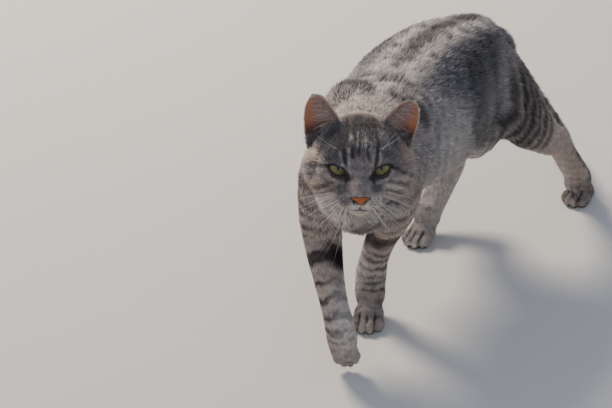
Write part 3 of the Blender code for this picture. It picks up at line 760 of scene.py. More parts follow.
def bodyMarks(place):
    body, share, paths = place["body"], place["share"], place["paths"]
    count = len(body)
    x, y, z = body.T
    trunkFine = finePaths["trunk"]
    middle = np.interp(y, trunkFine[:, 1], trunkFine[:, 0])
    lateral = x - middle
    leftSide = lateral > 0
    coarse, fine, ripple = waves(body, 7, 11), waves(body, 2.6, 12), waves(body, 1.1, 13)
    stripe, shade, warm, pale = (np.zeros(count) for _ in range(4))

    torso = np.clip(share["trunk"] + share["hindLeft"] + share["hindRight"] * 0.6, 0, 1)
    trunkOnly = share["trunk"]
    # slate over the upper side, mottled with beige along the spine, and paler grey below
    foreFlank = smooth(y, 15.5, 11)  # the flank is paler toward the shoulder
    upper = smooth(z + 0.7 * coarse - 2.6 * foreFlank, 19.2, 22.4)
    grain = waves(body * [1, 0.5, 1], 0.8, 18)
    ridge = smooth(np.abs(lateral), 3.4, 1.6) * smooth(z, 22.5, 24)
    shade = paint(shade, trunkOnly * (0.12 + 0.78 * upper * (1 - 0.75 * ridge)))
    stripe = paint(stripe, trunkOnly * 0.3 * upper * (1 - ridge) * smooth(fine + ripple, -0.8, 0.8))
    warm = paint(warm, trunkOnly * ridge * (0.25 + 0.25 * smooth(fine, 0, 1)))
    pale = paint(pale, trunkOnly * ridge * (0.5 + 0.45 * smooth(fine + 0.7 * ripple, -0.3, 0.7)))
    stripe = paint(stripe, trunkOnly * ridge * 0.72 * smooth(waves(body * [1, 0.45, 1], 1.3, 17), 0.3, 1.1))
    warm = paint(warm, trunkOnly * smooth(z, 16.5, 12.5) * 0.5)
    pale = paint(pale, trunkOnly * smooth(z, 15.5, 11.5) * (0.4 + 0.4 * smooth(y, 14, 18)))
    pale = paint(pale, trunkOnly * 0.5 * band(z, 18.8, 4.2, 0.7) * smooth(y, 15.5, 13)
                 * smooth(coarse, -1.5, 0))
    shade = paint(shade, trunkOnly * 0.5 * smooth(fine + 0.6 * ripple, 0.35, 1.1) * smooth(z, 17, 21))
    # the dark line down the spine
    spine = band(lateral + 0.2 * fine, 0, 0.7, 0.6) * smooth(z, 21, 23)
    stripe = paint(stripe, trunkOnly * spine * 0.7 * smooth(y, 8, 16))
    # the broad band before the hip and the thinner ones round it, bowed like the ribs
    bowed = y - 0.13 * (z - 19) ** 2 + 0.35 * coarse + 0.2 * fine - np.where(leftSide, 0, -0.8)
    high = smooth(z, 24.4, 22.8) * smooth(z, 12.6, 15.4)
    stripe = paint(stripe, torso * high * 0.85 * band(bowed, 17.0, 1.9, 0.4) * (0.85 + 0.15 * ripple))
    stripe = paint(stripe, torso * high * 0.5 * band(bowed, 20.7, 2.2, 0.4) * smooth(z, 13.5, 16))
    for centre, half, strength in ((21.9, 0.4, 0.5), (14.0, 0.35, 0.2), (13.0, 0.5, 0.2), (11.5, 0.45, 0.24),
                                   (9.6, 0.5, 0.28), (7.4, 0.45, 0.28)):
        stripe = paint(stripe, trunkOnly * smooth(z, 23.5, 21.5) * smooth(z, 11.5, 13.5) * strength
                       * band(bowed, centre, half, 0.8))
    # stripes round the thighs, which lean forward as they come down; the right leg stands further forward
    lean = y - 0.45 * (z - 14) + 0.2 * coarse + 0.2 * fine + np.where(leftSide, 0, 1.4)
    thigh = torso * smooth(z, 22.0, 18.5) * smooth(z, 10.0, 11.2) * np.where(leftSide, 1, 0.85)
    shade = paint(shade, thigh * 0.1)
    pale = paint(pale, thigh * 0.3)
    for centre, half, strength in ((21.2, 0.3, 0.5), (22.8, 0.5, 0.88), (24.15, 0.46, 0.95),
                                   (25.45, 0.54, 0.94),
                                   (26.75, 0.46, 0.94), (28.1, 0.52, 0.9), (29.5, 0.42, 0.8)):
        stripe = paint(stripe, thigh * strength * band(lean, centre, half, 0.5))
    # soft dark spot on the flank
    stripe = paint(stripe, trunkOnly * 0.55 * smooth(spotDistance(body, (7.9, 12.6, 23.0), (1.0, 0.9, 0.9)),
                                                     1.2, 0.4))
    # ticking: fine dark and pale flecks all over
    stripe = paint(stripe, (trunkOnly + share["neck"]) * 0.3 * smooth(grain, 0.5, 1.4))
    pale = paint(pale, (trunkOnly + share["neck"]) * 0.26 * smooth(-grain, 0.5, 1.4))
    # pale fringe over each shoulder blade (partly pale fur, partly painted rim light), a slate stripe before
    # it
    mirroredBody = body.copy()
    mirroredBody[:, 0] = np.where(lateral < 0, 2 * middle - x, x)
    arc = lineDistance(mirroredBody, bladeFringe)
    pale = paint(pale, 0.85 * smooth(arc + 0.12 * ripple, 0.6, 0.2))
    blade = lineDistance(mirroredBody, [(5.2, 6.2, 25.4), (6.4, 5.8, 25.3), (7.6, 5.6, 25), (8.6, 5.8, 24),
                                        (9.2, 6, 23)])
    stripe = paint(stripe, 0.8 * smooth(blade + 0.15 * ripple, 0.85, 0.3))
    stripe = paint(stripe, 0.45 * smooth(np.abs(arc - 1.4) + 0.15 * fine, 0.6, 0.2) * smooth(y, 7.5, 8.5)
                   * trunkOnly)

    # neck and breast: beige grey with long soft streaks
    neck = share["neck"]
    streak = smooth(waves(body * [1.8, 1.8, 0.5], 1.5, 21) + 0.3 * ripple, 0.2, 1.2)
    warm = paint(warm, neck * (0.58 + 0.32 * smooth(z, 20, 17)))
    shade = paint(shade, neck * 0.2)
    # the top of the neck is paler: partly pale fur, partly painted sunlight
    pale = paint(pale, neck * 0.35 * smooth(z, 22.5, 24.5))
    stripe = paint(stripe, (neck + trunkOnly * smooth(y, 5, 1)) * 0.6 * streak * smooth(z, 23, 20))
    stripe = paint(stripe, (neck + trunkOnly * smooth(y, 4, 0)) * 0.62
                   * band(z + 0.25 * (y + 3) + 0.5 * fine, 15.6, 0.5, 0.7))
    stripe = paint(stripe, (neck + trunkOnly * smooth(y, 4, 0)) * 0.5
                   * band(z + 0.25 * (y + 3) + 0.5 * fine, 18.3, 0.45, 0.7))
    warm = paint(warm, trunkOnly * smooth(y, 4, -1) * 0.5)
    throat = smooth(spotDistance(body, (8.0, -4.5, 18.6), (3.6, 3.6, 2.4)), 1.3, 0.5)
    stripe = stripe * (1 - 0.65 * throat)
    shade = shade * (1 - 0.7 * throat)
    warm = paint(warm, 0.9 * throat)

    # legs
    for name, rings in (
        ("foreLeft", ((17.0, 0.3, 0.7), (15.2, 0.3, 0.75), (13.2, 0.3, 0.8), (10.0, 1.15, 0.97),
                      (7.9, 0.18, 0.9), (6.9, 0.2, 0.97), (5.9, 0.19, 0.95), (4.7, 0.19, 0.95),
                      (3.7, 0.2, 0.95), (2.8, 0.2, 0.9))),
        ("foreRight", ((18.5, 0.28, 0.85), (17.1, 0.28, 0.9), (15.7, 0.28, 0.9), (14.3, 0.3, 0.92),
                       (12.9, 0.28, 0.9), (11.3, 0.3, 0.95), (9.5, 0.62, 0.98), (8.2, 0.24, 0.95),
                       (7.25, 0.3, 0.97), (6.3, 0.2, 0.9), (5.5, 0.2, 0.85), (4.7, 0.18, 0.75))),
    ):
        leg = share[name] * smooth(z, 21, 17)
        data = paths[name]
        outer = smooth(data["offset"][:, 0] * (1 if name == "foreLeft" else -1), -0.9, 0.7)
        warm = paint(warm, leg * 0.72)
        pale = paint(pale, leg * (0.3 + 0.3 * smooth(z, 9, 5) + 0.4 * (1 - outer) * smooth(z, 9.5, 8)))
        shade = paint(shade, share[name] * (0.05 + 0.15 * outer))
        stripe = paint(stripe, leg * 0.3 * smooth(grain, 0.5, 1.4))
        pale = paint(pale, leg * 0.3 * smooth(-grain, 0.3, 1.2))
        wobble = 0.2 * fine + 0.1 * ripple + 0.25 * coarse
        for height, half, strength in rings:
            ring = band(data["along"] + wobble, lengthAtHeight(name, height), half, 0.38)
            broad = half > 0.5
            stripe = paint(stripe, leg * strength * ring * (1 if broad else 0.5 + 0.5 * outer)
                           * (0.9 + 0.1 * ripple))
            if broad:
                inside = (band(data["along"] + wobble, lengthAtHeight(name, height), half + 0.75, 0.4)
                          * (1 - outer))
                stripe = paint(stripe, leg * inside * 0.95
                               * smooth(data["offset"][:, 0] * (1 if name == "foreLeft" else -1),
                                                                    0.1, -0.9))
    for name in ("hindLeft", "hindRight"):
        sign = 1 if name == "hindLeft" else -1
        data = paths[name]
        outer = smooth(data["offset"][:, 0] * sign, -0.5, 0.9)
        lower = share[name] * smooth(data["along"], 9.5, 12.5)
        warm = paint(warm, share[name] * 0.42)
        warm = paint(warm, lower * 0.4)
        shade = paint(shade, lower * 0.25)
        pale = paint(pale, lower * 0.25 + share[name] * (1 - outer) * 0.4)
        # the right hind foot is whiter: partly white fur, partly painted sunlight
        if name == "hindRight":
            pale = paint(pale, lower * 0.8 * smooth(z, 8.5, 6))
        stripe = paint(stripe, lower * 0.3 * smooth(grain, 0.4, 1.3))
        behind = smooth(unit(data["offset"]) @ np.array([0.62 * sign, 0.78, 0]) + 0.12 * fine + 0.08 * ripple,
                        0.45, 0.95)
        behind = behind * (0.95 if name == "hindLeft" else 0.7)
        stripe = paint(stripe, share[name] * behind * smooth(z + 0.4 * fine, 8.4, 6.4)
                       * smooth(z + 0.4 * ripple, 1.0, 3.0))
        if name == "hindRight":
            for k in range(7):
                ring = band(data["along"] + 0.3 * fine + 0.2 * ripple, 2.6 + 1.5 * k, 0.42, 0.5)
                stripe = paint(stripe, share[name] * outer * 0.92 * ring)
    # each paw is darkened as painted shade, less on the two right paws, which stood in more light
    for name in pawSet:
        local = pawPlace(name, body)
        paw = smooth(np.linalg.norm(local, axis=1), 3.0, 1.2) * share[name]
        pawShade = {"foreRight": 0.8, "hindRight": 0.6}.get(name, 1.0)
        warm = warm * (1 - 0.4 * paw * pawShade)
        pale = pale * (1 - 0.7 * paw * pawShade)
        shade = paint(shade, paw * 0.55 * pawShade)
        stripe = paint(stripe, paw * 0.24 * pawShade * smooth(fine + ripple, -0.6, 0.8))
        # dark slits between the toes: painted shade in the creases
        for across, ahead in ((-0.63, 1.75), (0, 2.1), (0.63, 1.75)):
            gap = np.abs(local[:, 0] - across) + 0.02 * ripple
            slit = smooth(gap, 0.15, 0.05) * smooth(local[:, 1], ahead - 1.25, ahead - 0.75)
            stripe = paint(stripe, paw * (0.5 if name == "foreRight" else 0.95) * slit
                           * smooth(local[:, 2], -0.95, -0.7))

    # tail: rings that join along its top, and a dark tip
    tail = paths["tail"]
    rings = smooth(np.sin(2 * np.pi * (tail["along"] + 0.3 * fine) / 2.9), 0.0, 0.8)
    top = smooth(tail["offset"][:, 2] + tail["offset"][:, 1] * 0.8, 0.3, 1.0)
    warm = paint(warm, share["tail"] * 0.45)
    shade = paint(shade, share["tail"] * 0.3)
    stripe = paint(stripe, share["tail"] * np.maximum(0.68 * rings, 0.6 * top))
    stripe = paint(stripe, share["tail"] * 0.9
                   * smooth(tail["along"], pathLengths(finePaths["tail"])[-1] - 4.5,
                                                         pathLengths(finePaths["tail"])[-1] - 3))
    warm = warm * (1 - 0.4 * shade)
    return np.stack([stripe, shade, warm, pale], 1)


def headMarks(place):
    head = place["head"]
    l, f, u = head.T
    front = smooth(f, -3.2, -1.2)
    fine, ripple = waves(head, 1.3, 31), waves(head, 0.55, 32)
    marks = {"stripe": np.zeros(len(head)), "shade": np.full(len(head), 0.12),
             "warm": np.full(len(head), 0.5),
             "pale": np.full(len(head), 0.08)}

    def wash(kind, amount, spot, radius):
        # one soft patch; slate and black patches take away beige and white under them
        patch = amount * smooth(spotDistance(head, spot, radius), 1.3, 0.45)
        marks[kind] = paint(marks[kind], patch)
        for other in ("warm", "pale") if kind in ("shade", "stripe") else ():
            marks[other] = marks[other] * (1 - 0.85 * patch)

    wash("shade", 0.42, (0, -2.0, 0), (5.5, 4.5, 4.5))
    # slate brows; the cat's right brow is darker still with painted shade
    wash("shade", 1.0, (-2.5, -1.0, 2.0), (2.3, 2.6, 1.9))
    wash("shade", 0.75, (2.8, -1.2, 1.8), (2.1, 2.4, 1.7))
    wash("stripe", 0.7, (-2.3, -1.0, 2.3), (2.1, 2.4, 1.5))
    wash("stripe", 0.3, (2.8, -1.2, 2.0), (1.8, 2.2, 1.3))
    # painted shade over the right cheek and the right side of the muzzle
    wash("shade", 0.6, (-3.9, -1.6, -0.7), (1.2, 1.8, 0.9))
    wash("shade", 0.8, (-1.5, 1.3, -2.1), (1.0, 1.2, 0.6))
    wash("stripe", 0.5, (-3.0, -1.9, 2.9), (1.0, 1.2, 0.8))
    wash("stripe", 0.45, (3.3, -2.1, 2.4), (1.0, 1.2, 0.8))
    wash("shade", 0.55, (0, -0.2, 2.6), (1.7, 1.7, 1.5))
    wash("shade", 1.0, (-1.6, 0.85, -1.3), (1.05, 1.4, 0.72))
    wash("stripe", 0.45, (-1.5, 1.0, -1.25), (0.75, 1.1, 0.55))
    wash("shade", 0.85, (1.6, 0.85, -1.25), (0.9, 1.3, 0.65))
    wash("stripe", 0.35, (1.45, 1.0, -1.2), (0.65, 1.0, 0.5))
    wash("shade", 0.3, (0, 1.6, -0.8), (0.85, 1.5, 0.9))
    wash("shade", 0.5, (3.2, -1.4, 0.6), (1.2, 1.6, 0.8))
    wash("warm", 0.85, (-4.2, -2.8, 0.9), (0.9, 1.4, 0.75))
    wash("warm", 0.6, (4.0, -3.0, 1.2), (1.2, 1.6, 1.0))
    wash("warm", 0.8, (-3.3, -1.0, -2.3), (1.3, 1.8, 0.8))
    wash("warm", 0.85, (3.4, -0.9, -1.6), (1.5, 1.9, 0.9))
    wash("warm", 0.4, (0, -4.5, 4.2), (3.0, 2.6, 1.4))
    wash("shade", 0.9, (0, -2.6, 3.8), (2.6, 2.8, 1.6))
    wash("stripe", 0.5, (0, -2.6, 3.8), (2.4, 2.6, 1.5))
    wash("warm", 0.35, (0, -3.2, 4.1), (2.6, 2.2, 1.3))
    wash("stripe", 0.35, (-4.3, -1.6, -0.9), (1.0, 1.5, 0.5))
    wash("pale", 0.6, (-4.2, -2.6, 0.9), (0.75, 1.2, 0.6))
    # the pale nape: partly pale fur, partly painted sunlight on the back of the head
    wash("warm", 0.7, (0, -7.2, 3.7), (3.4, 2.4, 1.5))
    wash("pale", 0.9, (-0.4, -6.4, 3.9), (2.6, 1.7, 1.3))
    wash("pale", 0.9, (0, 2.0, -2.62), (1.1, 0.9, 0.5))
    wash("pale", 0.5, (0.5, 1.0, -2.6), (1.9, 1.6, 0.55))
    wash("warm", 0.8, (0, 0.7, -3.5), (1.6, 1.7, 0.7))
    wash("pale", 0.5, (0, 0.9, -3.4), (1.4, 1.6, 0.55))
    wash("pale", 0.55, (-3.2, -0.9, -2.3), (1.1, 1.5, 0.6))
    wash("pale", 0.75, (3.3, -0.8, -1.5), (1.4, 1.7, 0.75))
    wash("pale", 0.65, (1.4, 1.2, -2.2), (1.2, 1.3, 0.6))
    wash("warm", 0.65, (1.5, 1.1, -2.3), (1.3, 1.4, 0.7))
    wash("pale", 0.3, (-3.3, -1.1, -0.6), (1.1, 1.4, 0.5))
    # tan cheeks, temples and throat, over the grey
    wash("warm", 0.7, (-3.2, -1.0, -1.9), (1.4, 1.8, 1.0))
    wash("warm", 0.7, (3.2, -1.0, -1.5), (1.6, 1.9, 1.0))
    wash("warm", 0.8, (-4.1, -2.3, 1.1), (0.9, 1.5, 0.9))
    wash("warm", 0.25, (3.9, -2.6, 0.8), (1.0, 1.6, 1.0))
    wash("warm", 0.9, (0, -0.4, -4.2), (3.0, 2.6, 1.3))
    wash("pale", 0.35, (0, -0.4, -4.0), (2.6, 2.4, 0.9))
    # slate brows, the right one darker with painted shade, and the cool bridge of the nose
    wash("shade", 0.7, (-2.3, -0.9, 2.2), (2.0, 2.2, 1.5))
    wash("stripe", 0.3, (-2.3, -0.9, 2.2), (2.0, 2.2, 1.4))
    wash("shade", 0.5, (2.5, -1.1, 2.1), (1.8, 2.0, 1.4))
    wash("shade", 0.35, (0, 1.2, -0.5), (0.8, 1.7, 1.3))
    wash("shade", 0.65, (0, -1.6, 3.2), (2.3, 2.2, 1.4))
    wash("stripe", 0.3, (0, -2.2, 3.6), (2.3, 2.2, 1.2))
    # painted shade over the right side of the muzzle
    wash("shade", 0.5, (-1.3, 1.4, -2.15), (0.9, 1.0, 0.5))
    wash("stripe", 0.25, (-1.4, 1.2, -2.1), (0.9, 1.0, 0.45))
    # fine dark streaks that fan back over the crown
    fan = l / (1 + 0.1 * np.maximum(-f, 0)) + 0.12 * fine
    lines = (smooth(np.sin(2 * np.pi * fan / 0.62 + 1.2), 0.1, 0.9) * smooth(u, 2.0, 3.2)
             * smooth(np.abs(l), 3.2, 2.2))
    marks["stripe"] = paint(marks["stripe"], 0.65 * lines * smooth(fine + ripple, -0.9, 0.5))
    thin = (np.sin(2 * np.pi * (fan + 0.05 * ripple) / 0.27) * smooth(u, 1.3, 2.3)
            * smooth(np.abs(l), 2.6, 1.6))
    marks["stripe"] = paint(marks["stripe"], 0.4 * smooth(thin + 0.3 * ripple, 0.2, 0.9))
    marks["pale"] = paint(marks["pale"], 0.12 * smooth(0.3 * fine - thin, 0.2, 0.9))
    # soft mottling, finest on the face
    marks["shade"] = paint(marks["shade"], 0.35 * smooth(ripple + 0.5 * fine, 0.2, 1.2) * front)
    fleck = waves(head, 0.3, 33) + 0.4 * ripple
    marks["stripe"] = paint(marks["stripe"], 0.36 * smooth(fleck, 0.4, 1.4) * smooth(f, 1.6, 0.4))
    marks["pale"] = paint(marks["pale"], 0.32 * smooth(-fleck, 0.4, 1.4) * smooth(f, 1.6, 0.4))
    for kind, strength, half, line in faceStrokes:
        gap = lineDistance(head, ontoSkin(line)) + 0.035 * ripple
        marks[kind] = paint(marks[kind], strength * smooth(gap, half * 1.7, half * 0.55))
        if kind == "pale":
            marks["stripe"] = marks["stripe"] * (1 - 0.7 * smooth(gap, half * 1.7, half * 0.55))
    # rows of dark spots at the roots of the whiskers
    for row in range(3):
        for k in range(4):
            l0, u0 = 0.95 + 0.33 * k + 0.16 * (row % 2), -2.0 - 0.2 * row - 0.03 * k
            for side in (1, -1):
                gap = np.hypot(l - side * l0, u - u0) + 0.02 * ripple
                marks["stripe"] = paint(marks["stripe"], 0.65 * smooth(gap, 0.1, 0.04) * smooth(f, 0, 0.6))
    # the bare dark edge round each eye
    rim = 0.18 + 0.2 * smooth(u, 0.2, -0.5)
    marks["stripe"] = paint(marks["stripe"], smooth(eyeGap, rim, 0.4 * rim))
    # lips and the groove under the nose
    mirrored = head.copy()
    mirrored[:, 0] = np.abs(mirrored[:, 0])
    marks["stripe"] = paint(marks["stripe"], 0.75 * smooth(lineDistance(mirrored, mouthPath), 0.12, 0.05)
                            * smooth(np.abs(l), 1.9, 0.9))
    marks["stripe"] = paint(marks["stripe"], 0.97
                            * smooth(lineDistance(head, [(0, 2.3, -2.35), (0, 2.05, -3.05)]), 0.2, 0.09))
    return np.stack([marks[k] for k in ("stripe", "shade", "warm", "pale")], 1)


headShare = place["share"]["head"][:, None]
skinMarks = bodyMarks(place) * (1 - headShare) + headMarks(place) * headShare
print("markings laid out")


# Lie of the coat

def coatLie(place, normals):
    # the way the hairs point: back along the trunk and neck, down the legs, out along the tail, and
    # away from the nose over the head, always with a little fall toward the floor
    lie = np.zeros_like(place["body"])
    fall = np.array([0, 0, -1.0])
    for name, amount in (("trunk", 0.4), ("neck", 0.3), ("tail", 0.1), ("foreLeft", 0.3), ("foreRight", 0.3),
                         ("hindLeft", 0.25), ("hindRight", 0.25)):
        lie += place["share"][name][:, None] * (place["paths"][name]["heading"] + amount * fall)
    head = place["head"]
    away = unit(head - [0, 2.9, -1.75])
    side = smooth(np.abs(head[:, 0]), 2.2, 4.2)
    away[:, 2] -= 0.55 * side * smooth(head[:, 2], 1.5, -0.5)
    away[:, 1] -= 0.3 * side
    lie += place["share"]["head"][:, None] * (away @ headAxes) * 1.1
    lie -= normals * (lie * normals).sum(1, keepdims=True)
    return unit(lie)


skinLie = coatLie(place, skinNormals)
skinLie = relax(skinLie, skinEdges, 6, 0.5, 0.0)
skinLie = unit(skinLie - skinNormals * (skinLie * skinNormals).sum(1, keepdims=True))


# Materials

# the blue tint of ground and slate is partly the coat's own grey and partly painted shade under a blue sky
coatColours = {"ground": "#aeabb0", "groundDeep": "#8b878e", "slate": "#4d4f5c", "beige": "#c69f82",
               "white": "#efe7df",
               "black": "#201918", "tick": "#cfc8c2"}


def coatColour(tree, strand):
    # Hair keratin: a grey ground that turns slate, beige, white or near black with the markings, the cool
    # blue of ground and slate partly painted shade under a blue sky. Each hair is dark at the root, and some
    # have a pale band before the tip.
    marks = addNode(tree, "ShaderNodeAttribute", attribute_name="marking")
    split = addNode(tree, "ShaderNodeSeparateColor", {0: marks.outputs["Color"]})
    where = addNode(tree, "ShaderNodeTexCoord").outputs["Object"]
    # 8 mm clouds
    patch = addNode(tree, "ShaderNodeTexNoise", {"Vector": where, "Scale": 130.0, "Detail": 3.0})
    c = {k: hexColour(v) for k, v in coatColours.items()}
    mixed = addNode(tree, "ShaderNodeMix", {0: patch.outputs["Fac"], 6: c["ground"], 7: c["groundDeep"]},
                    data_type="RGBA").outputs[2]
    for colour, amount in (("slate", split.outputs[1]), ("beige", split.outputs[2]),
                           ("white", marks.outputs["Alpha"])):
        mixed = addNode(tree, "ShaderNodeMix", {0: amount, 6: mixed, 7: c[colour]},
                        data_type="RGBA").outputs[2]
    if strand:
        hair = addNode(tree, "ShaderNodeAttribute", attribute_name="strand")
        parts = addNode(tree, "ShaderNodeSeparateColor", {0: hair.outputs["Color"]})
        tick = addNode(tree, "ShaderNodeMapRange",
                       {"Value": parts.outputs[2], "From Min": 0.6, "From Max": 0.75})
        banded = addNode(tree, "ShaderNodeMapRange",
                         {"Value": parts.outputs[0], "From Min": 0.3, "From Max": 0.6})
        amount = addNode(tree, "ShaderNodeMath", {0: tick.outputs[0], 1: banded.outputs[0]},
                         operation="MULTIPLY")
        amount = addNode(tree, "ShaderNodeMath", {0: amount.outputs[0], 1: 0.42}, operation="MULTIPLY")
        mixed = addNode(tree, "ShaderNodeMix", {0: amount.outputs[0], 6: mixed, 7: c["tick"]},
                        data_type="RGBA").outputs[2]
    mixed = addNode(tree, "ShaderNodeMix", {0: split.outputs[0], 6: mixed, 7: c["black"]},
                    data_type="RGBA").outputs[2]
    if strand:
        rise = addNode(tree, "ShaderNodeMapRange",
                       {"Value": parts.outputs[0], "To Min": 0.68, "To Max": 1.16})
        vary = addNode(tree, "ShaderNodeMapRange", {"Value": parts.outputs[1], "To Min": 0.8, "To Max": 1.2})
        lock = addNode(tree, "ShaderNodeMapRange",
                       {"Value": hair.outputs["Alpha"], "To Min": 0.85, "To Max": 1.15})
        dark = addNode(tree, "ShaderNodeMapRange",
                       {"Value": parts.outputs[2], "From Max": 0.22, "To Min": 0.7})
        value = addNode(tree, "ShaderNodeMath", {0: rise.outputs[0], 1: vary.outputs[0]},
                        operation="MULTIPLY")
        value = addNode(tree, "ShaderNodeMath", {0: value.outputs[0], 1: lock.outputs[0]},
                        operation="MULTIPLY")
        value = addNode(tree, "ShaderNodeMath", {0: value.outputs[0], 1: dark.outputs[0]},
                        operation="MULTIPLY")
        value = value.outputs[0]
    else:
        value = 0.8
    return addNode(tree, "ShaderNodeHueSaturation", {"Value": value, "Color": mixed}).outputs[0], where


def newMaterial(name):
    material = bpy.data.materials.new(name)
    material.use_nodes = True
    tree = material.node_tree
    tree.nodes.clear()
    surface = addNode(tree, "ShaderNodeBsdfPrincipled")
    addNode(tree, "ShaderNodeOutputMaterial", {"Surface": surface.outputs[0]})
    return material, tree, surface


# cat fur, lying tufts of fine hair: soft, with a faint silky light along the hairs
furMaterial, tree, surface = newMaterial("tabbyFur")
colour, _ = coatColour(tree, True)
tree.links.new(colour, surface.inputs["Base Color"])
surface.inputs["Roughness"].default_value = 0.58
surface.inputs["IOR"].default_value = 1.45
surface.inputs["Specular IOR Level"].default_value = 0.3
surface.inputs["Sheen Weight"].default_value = 0.12
surface.inputs["Sheen Roughness"].default_value = 0.45

# the skin and the short down on it, seen only between the tufts: matt and rough
skinMaterial, tree, surface = newMaterial("tabbyDown")
colour, where = coatColour(tree, False)
tree.links.new(colour, surface.inputs["Base Color"])
down = addNode(tree, "ShaderNodeTexNoise", {"Vector": where, "Scale": 700.0, "Detail": 4.0})  # 1.4 mm clumps
rough = addNode(tree, "ShaderNodeBump", {"Height": down.outputs["Fac"], "Strength": 0.6, "Distance": 0.001})
tree.links.new(rough.outputs[0], surface.inputs["Normal"])
surface.inputs["Roughness"].default_value = 0.8
surface.inputs["Specular IOR Level"].default_value = 0.2

# lid edges and lips: bare dark leathery skin, damp
lidMaterial, tree, surface = newMaterial("lidLeather")
where = addNode(tree, "ShaderNodeTexCoord").outputs["Object"]
grain = addNode(tree, "ShaderNodeTexNoise", {"Vector": where, "Scale": 1200.0, "Detail": 3.0})  # 0.8 mm grain
tone = addNode(tree, "ShaderNodeMix", {0: grain.outputs["Fac"], 6: hexColour("#1b1412"),
                                       7: hexColour("#3a2a24")},
               data_type="RGBA")
tree.links.new(tone.outputs[2], surface.inputs["Base Color"])
surface.inputs["Roughness"].default_value = 0.38

# nose leather: bare, brick orange, finely pebbled and damp, darker at the rim, and black in the nostrils as
# painted shade
noseMaterial, tree, surface = newMaterial("noseLeather")
where = addNode(tree, "ShaderNodeTexCoord").outputs["Object"]
zones = addNode(tree, "ShaderNodeAttribute", attribute_name="zone")
split = addNode(tree, "ShaderNodeSeparateColor", {0: zones.outputs["Color"]})
pebbles = addNode(tree, "ShaderNodeTexVoronoi", {"Vector": where, "Scale": 1600.0})  # 0.6 mm pebbles
tone = addNode(tree, "ShaderNodeMix", {0: pebbles.outputs["Distance"], 6: hexColour("#b8642f"),
                                       7: hexColour("#964a1d")},
               data_type="RGBA")
tone = addNode(tree, "ShaderNodeMix", {0: split.outputs[0], 6: tone.outputs[2], 7: hexColour("#2c1510")},
               data_type="RGBA")
tone = addNode(tree, "ShaderNodeMix", {0: split.outputs[1], 6: tone.outputs[2], 7: hexColour("#0e0706")},
               data_type="RGBA")
tree.links.new(tone.outputs[2], surface.inputs["Base Color"])
bump = addNode(tree, "ShaderNodeBump", {"Height": pebbles.outputs["Distance"], "Strength": 0.35,
                                        "Distance": 0.0003})
tree.links.new(bump.outputs[0], surface.inputs["Normal"])
surface.inputs["Roughness"].default_value = 0.42

# the ear: thin skin, rosy orange as painted light coming through it, darker down in the bowl as painted
# shade, and pale at the rim as painted rim light
earMaterial, tree, surface = newMaterial("earSkin")
where = addNode(tree, "ShaderNodeTexCoord").outputs["Object"]
zones = addNode(tree, "ShaderNodeAttribute", attribute_name="zone")
split = addNode(tree, "ShaderNodeSeparateColor", {0: zones.outputs["Color"]})
# 5 mm blotches
blotch = addNode(tree, "ShaderNodeTexNoise", {"Vector": where, "Scale": 220.0, "Detail": 4.0})
inner = addNode(tree, "ShaderNodeMix", {0: blotch.outputs["Fac"], 6: hexColour("#8a5d50"),
                                        7: hexColour("#9d7467")},
                data_type="RGBA")
outer = addNode(tree, "ShaderNodeMix", {0: blotch.outputs["Fac"], 6: hexColour("#ab6238"),
                                        7: hexColour("#b97f5c")},
                data_type="RGBA")
tone = addNode(tree, "ShaderNodeMix", {0: zones.outputs["Alpha"], 6: inner.outputs[2], 7: outer.outputs[2]},
               data_type="RGBA")
tone = addNode(tree, "ShaderNodeMix", {0: split.outputs[0], 6: tone.outputs[2], 7: hexColour("#3b1d15")},
               data_type="RGBA")
tone = addNode(tree, "ShaderNodeMix", {0: split.outputs[1], 6: tone.outputs[2], 7: hexColour("#8d8078")},
               data_type="RGBA")
tone = addNode(tree, "ShaderNodeMix", {0: split.outputs[2], 6: tone.outputs[2], 7: hexColour("#cdb8a0")},
               data_type="RGBA")
tree.links.new(tone.outputs[2], surface.inputs["Base Color"])
bump = addNode(tree, "ShaderNodeBump", {"Height": blotch.outputs["Fac"], "Strength": 0.2, "Distance": 0.0008})
tree.links.new(bump.outputs[0], surface.inputs["Normal"])
surface.inputs["Roughness"].default_value = 0.55
surface.inputs["Sheen Weight"].default_value = 0.25

# the eye: yellow green iris with fine spokes and a dark rim, under a wet clear cornea
eyeMaterial, tree, surface = newMaterial("wetEye")
polar = addNode(tree, "ShaderNodeAttribute", attribute_name="iris")
split = addNode(tree, "ShaderNodeSeparateColor", {0: polar.outputs["Color"]})
spoke = addNode(tree, "ShaderNodeCombineXYZ", {0: split.outputs[1], 1: split.outputs[2], 2: 0.0})
rays = addNode(tree, "ShaderNodeTexNoise", {"Vector": spoke.outputs[0], "Scale": 14.0, "Detail": 5.0})
ring = addNode(tree, "ShaderNodeValToRGB", {0: split.outputs[0]})
ring.color_ramp.elements[0].position = 0.1
ring.color_ramp.elements[0].color = hexColour("#5d6136")
ring.color_ramp.elements[1].position = 0.96
ring.color_ramp.elements[1].color = hexColour("#17120e")
for position, code in ((0.35, "#7a7744"), (0.66, "#807441"), (0.84, "#3b3521")):
    ring.color_ramp.elements.new(position).color = hexColour(code)
lit = addNode(tree, "ShaderNodeMapRange", {"Value": rays.outputs["Fac"], "From Min": 0.3, "From Max": 0.7,
                                           "To Min": 0.62, "To Max": 1.36})
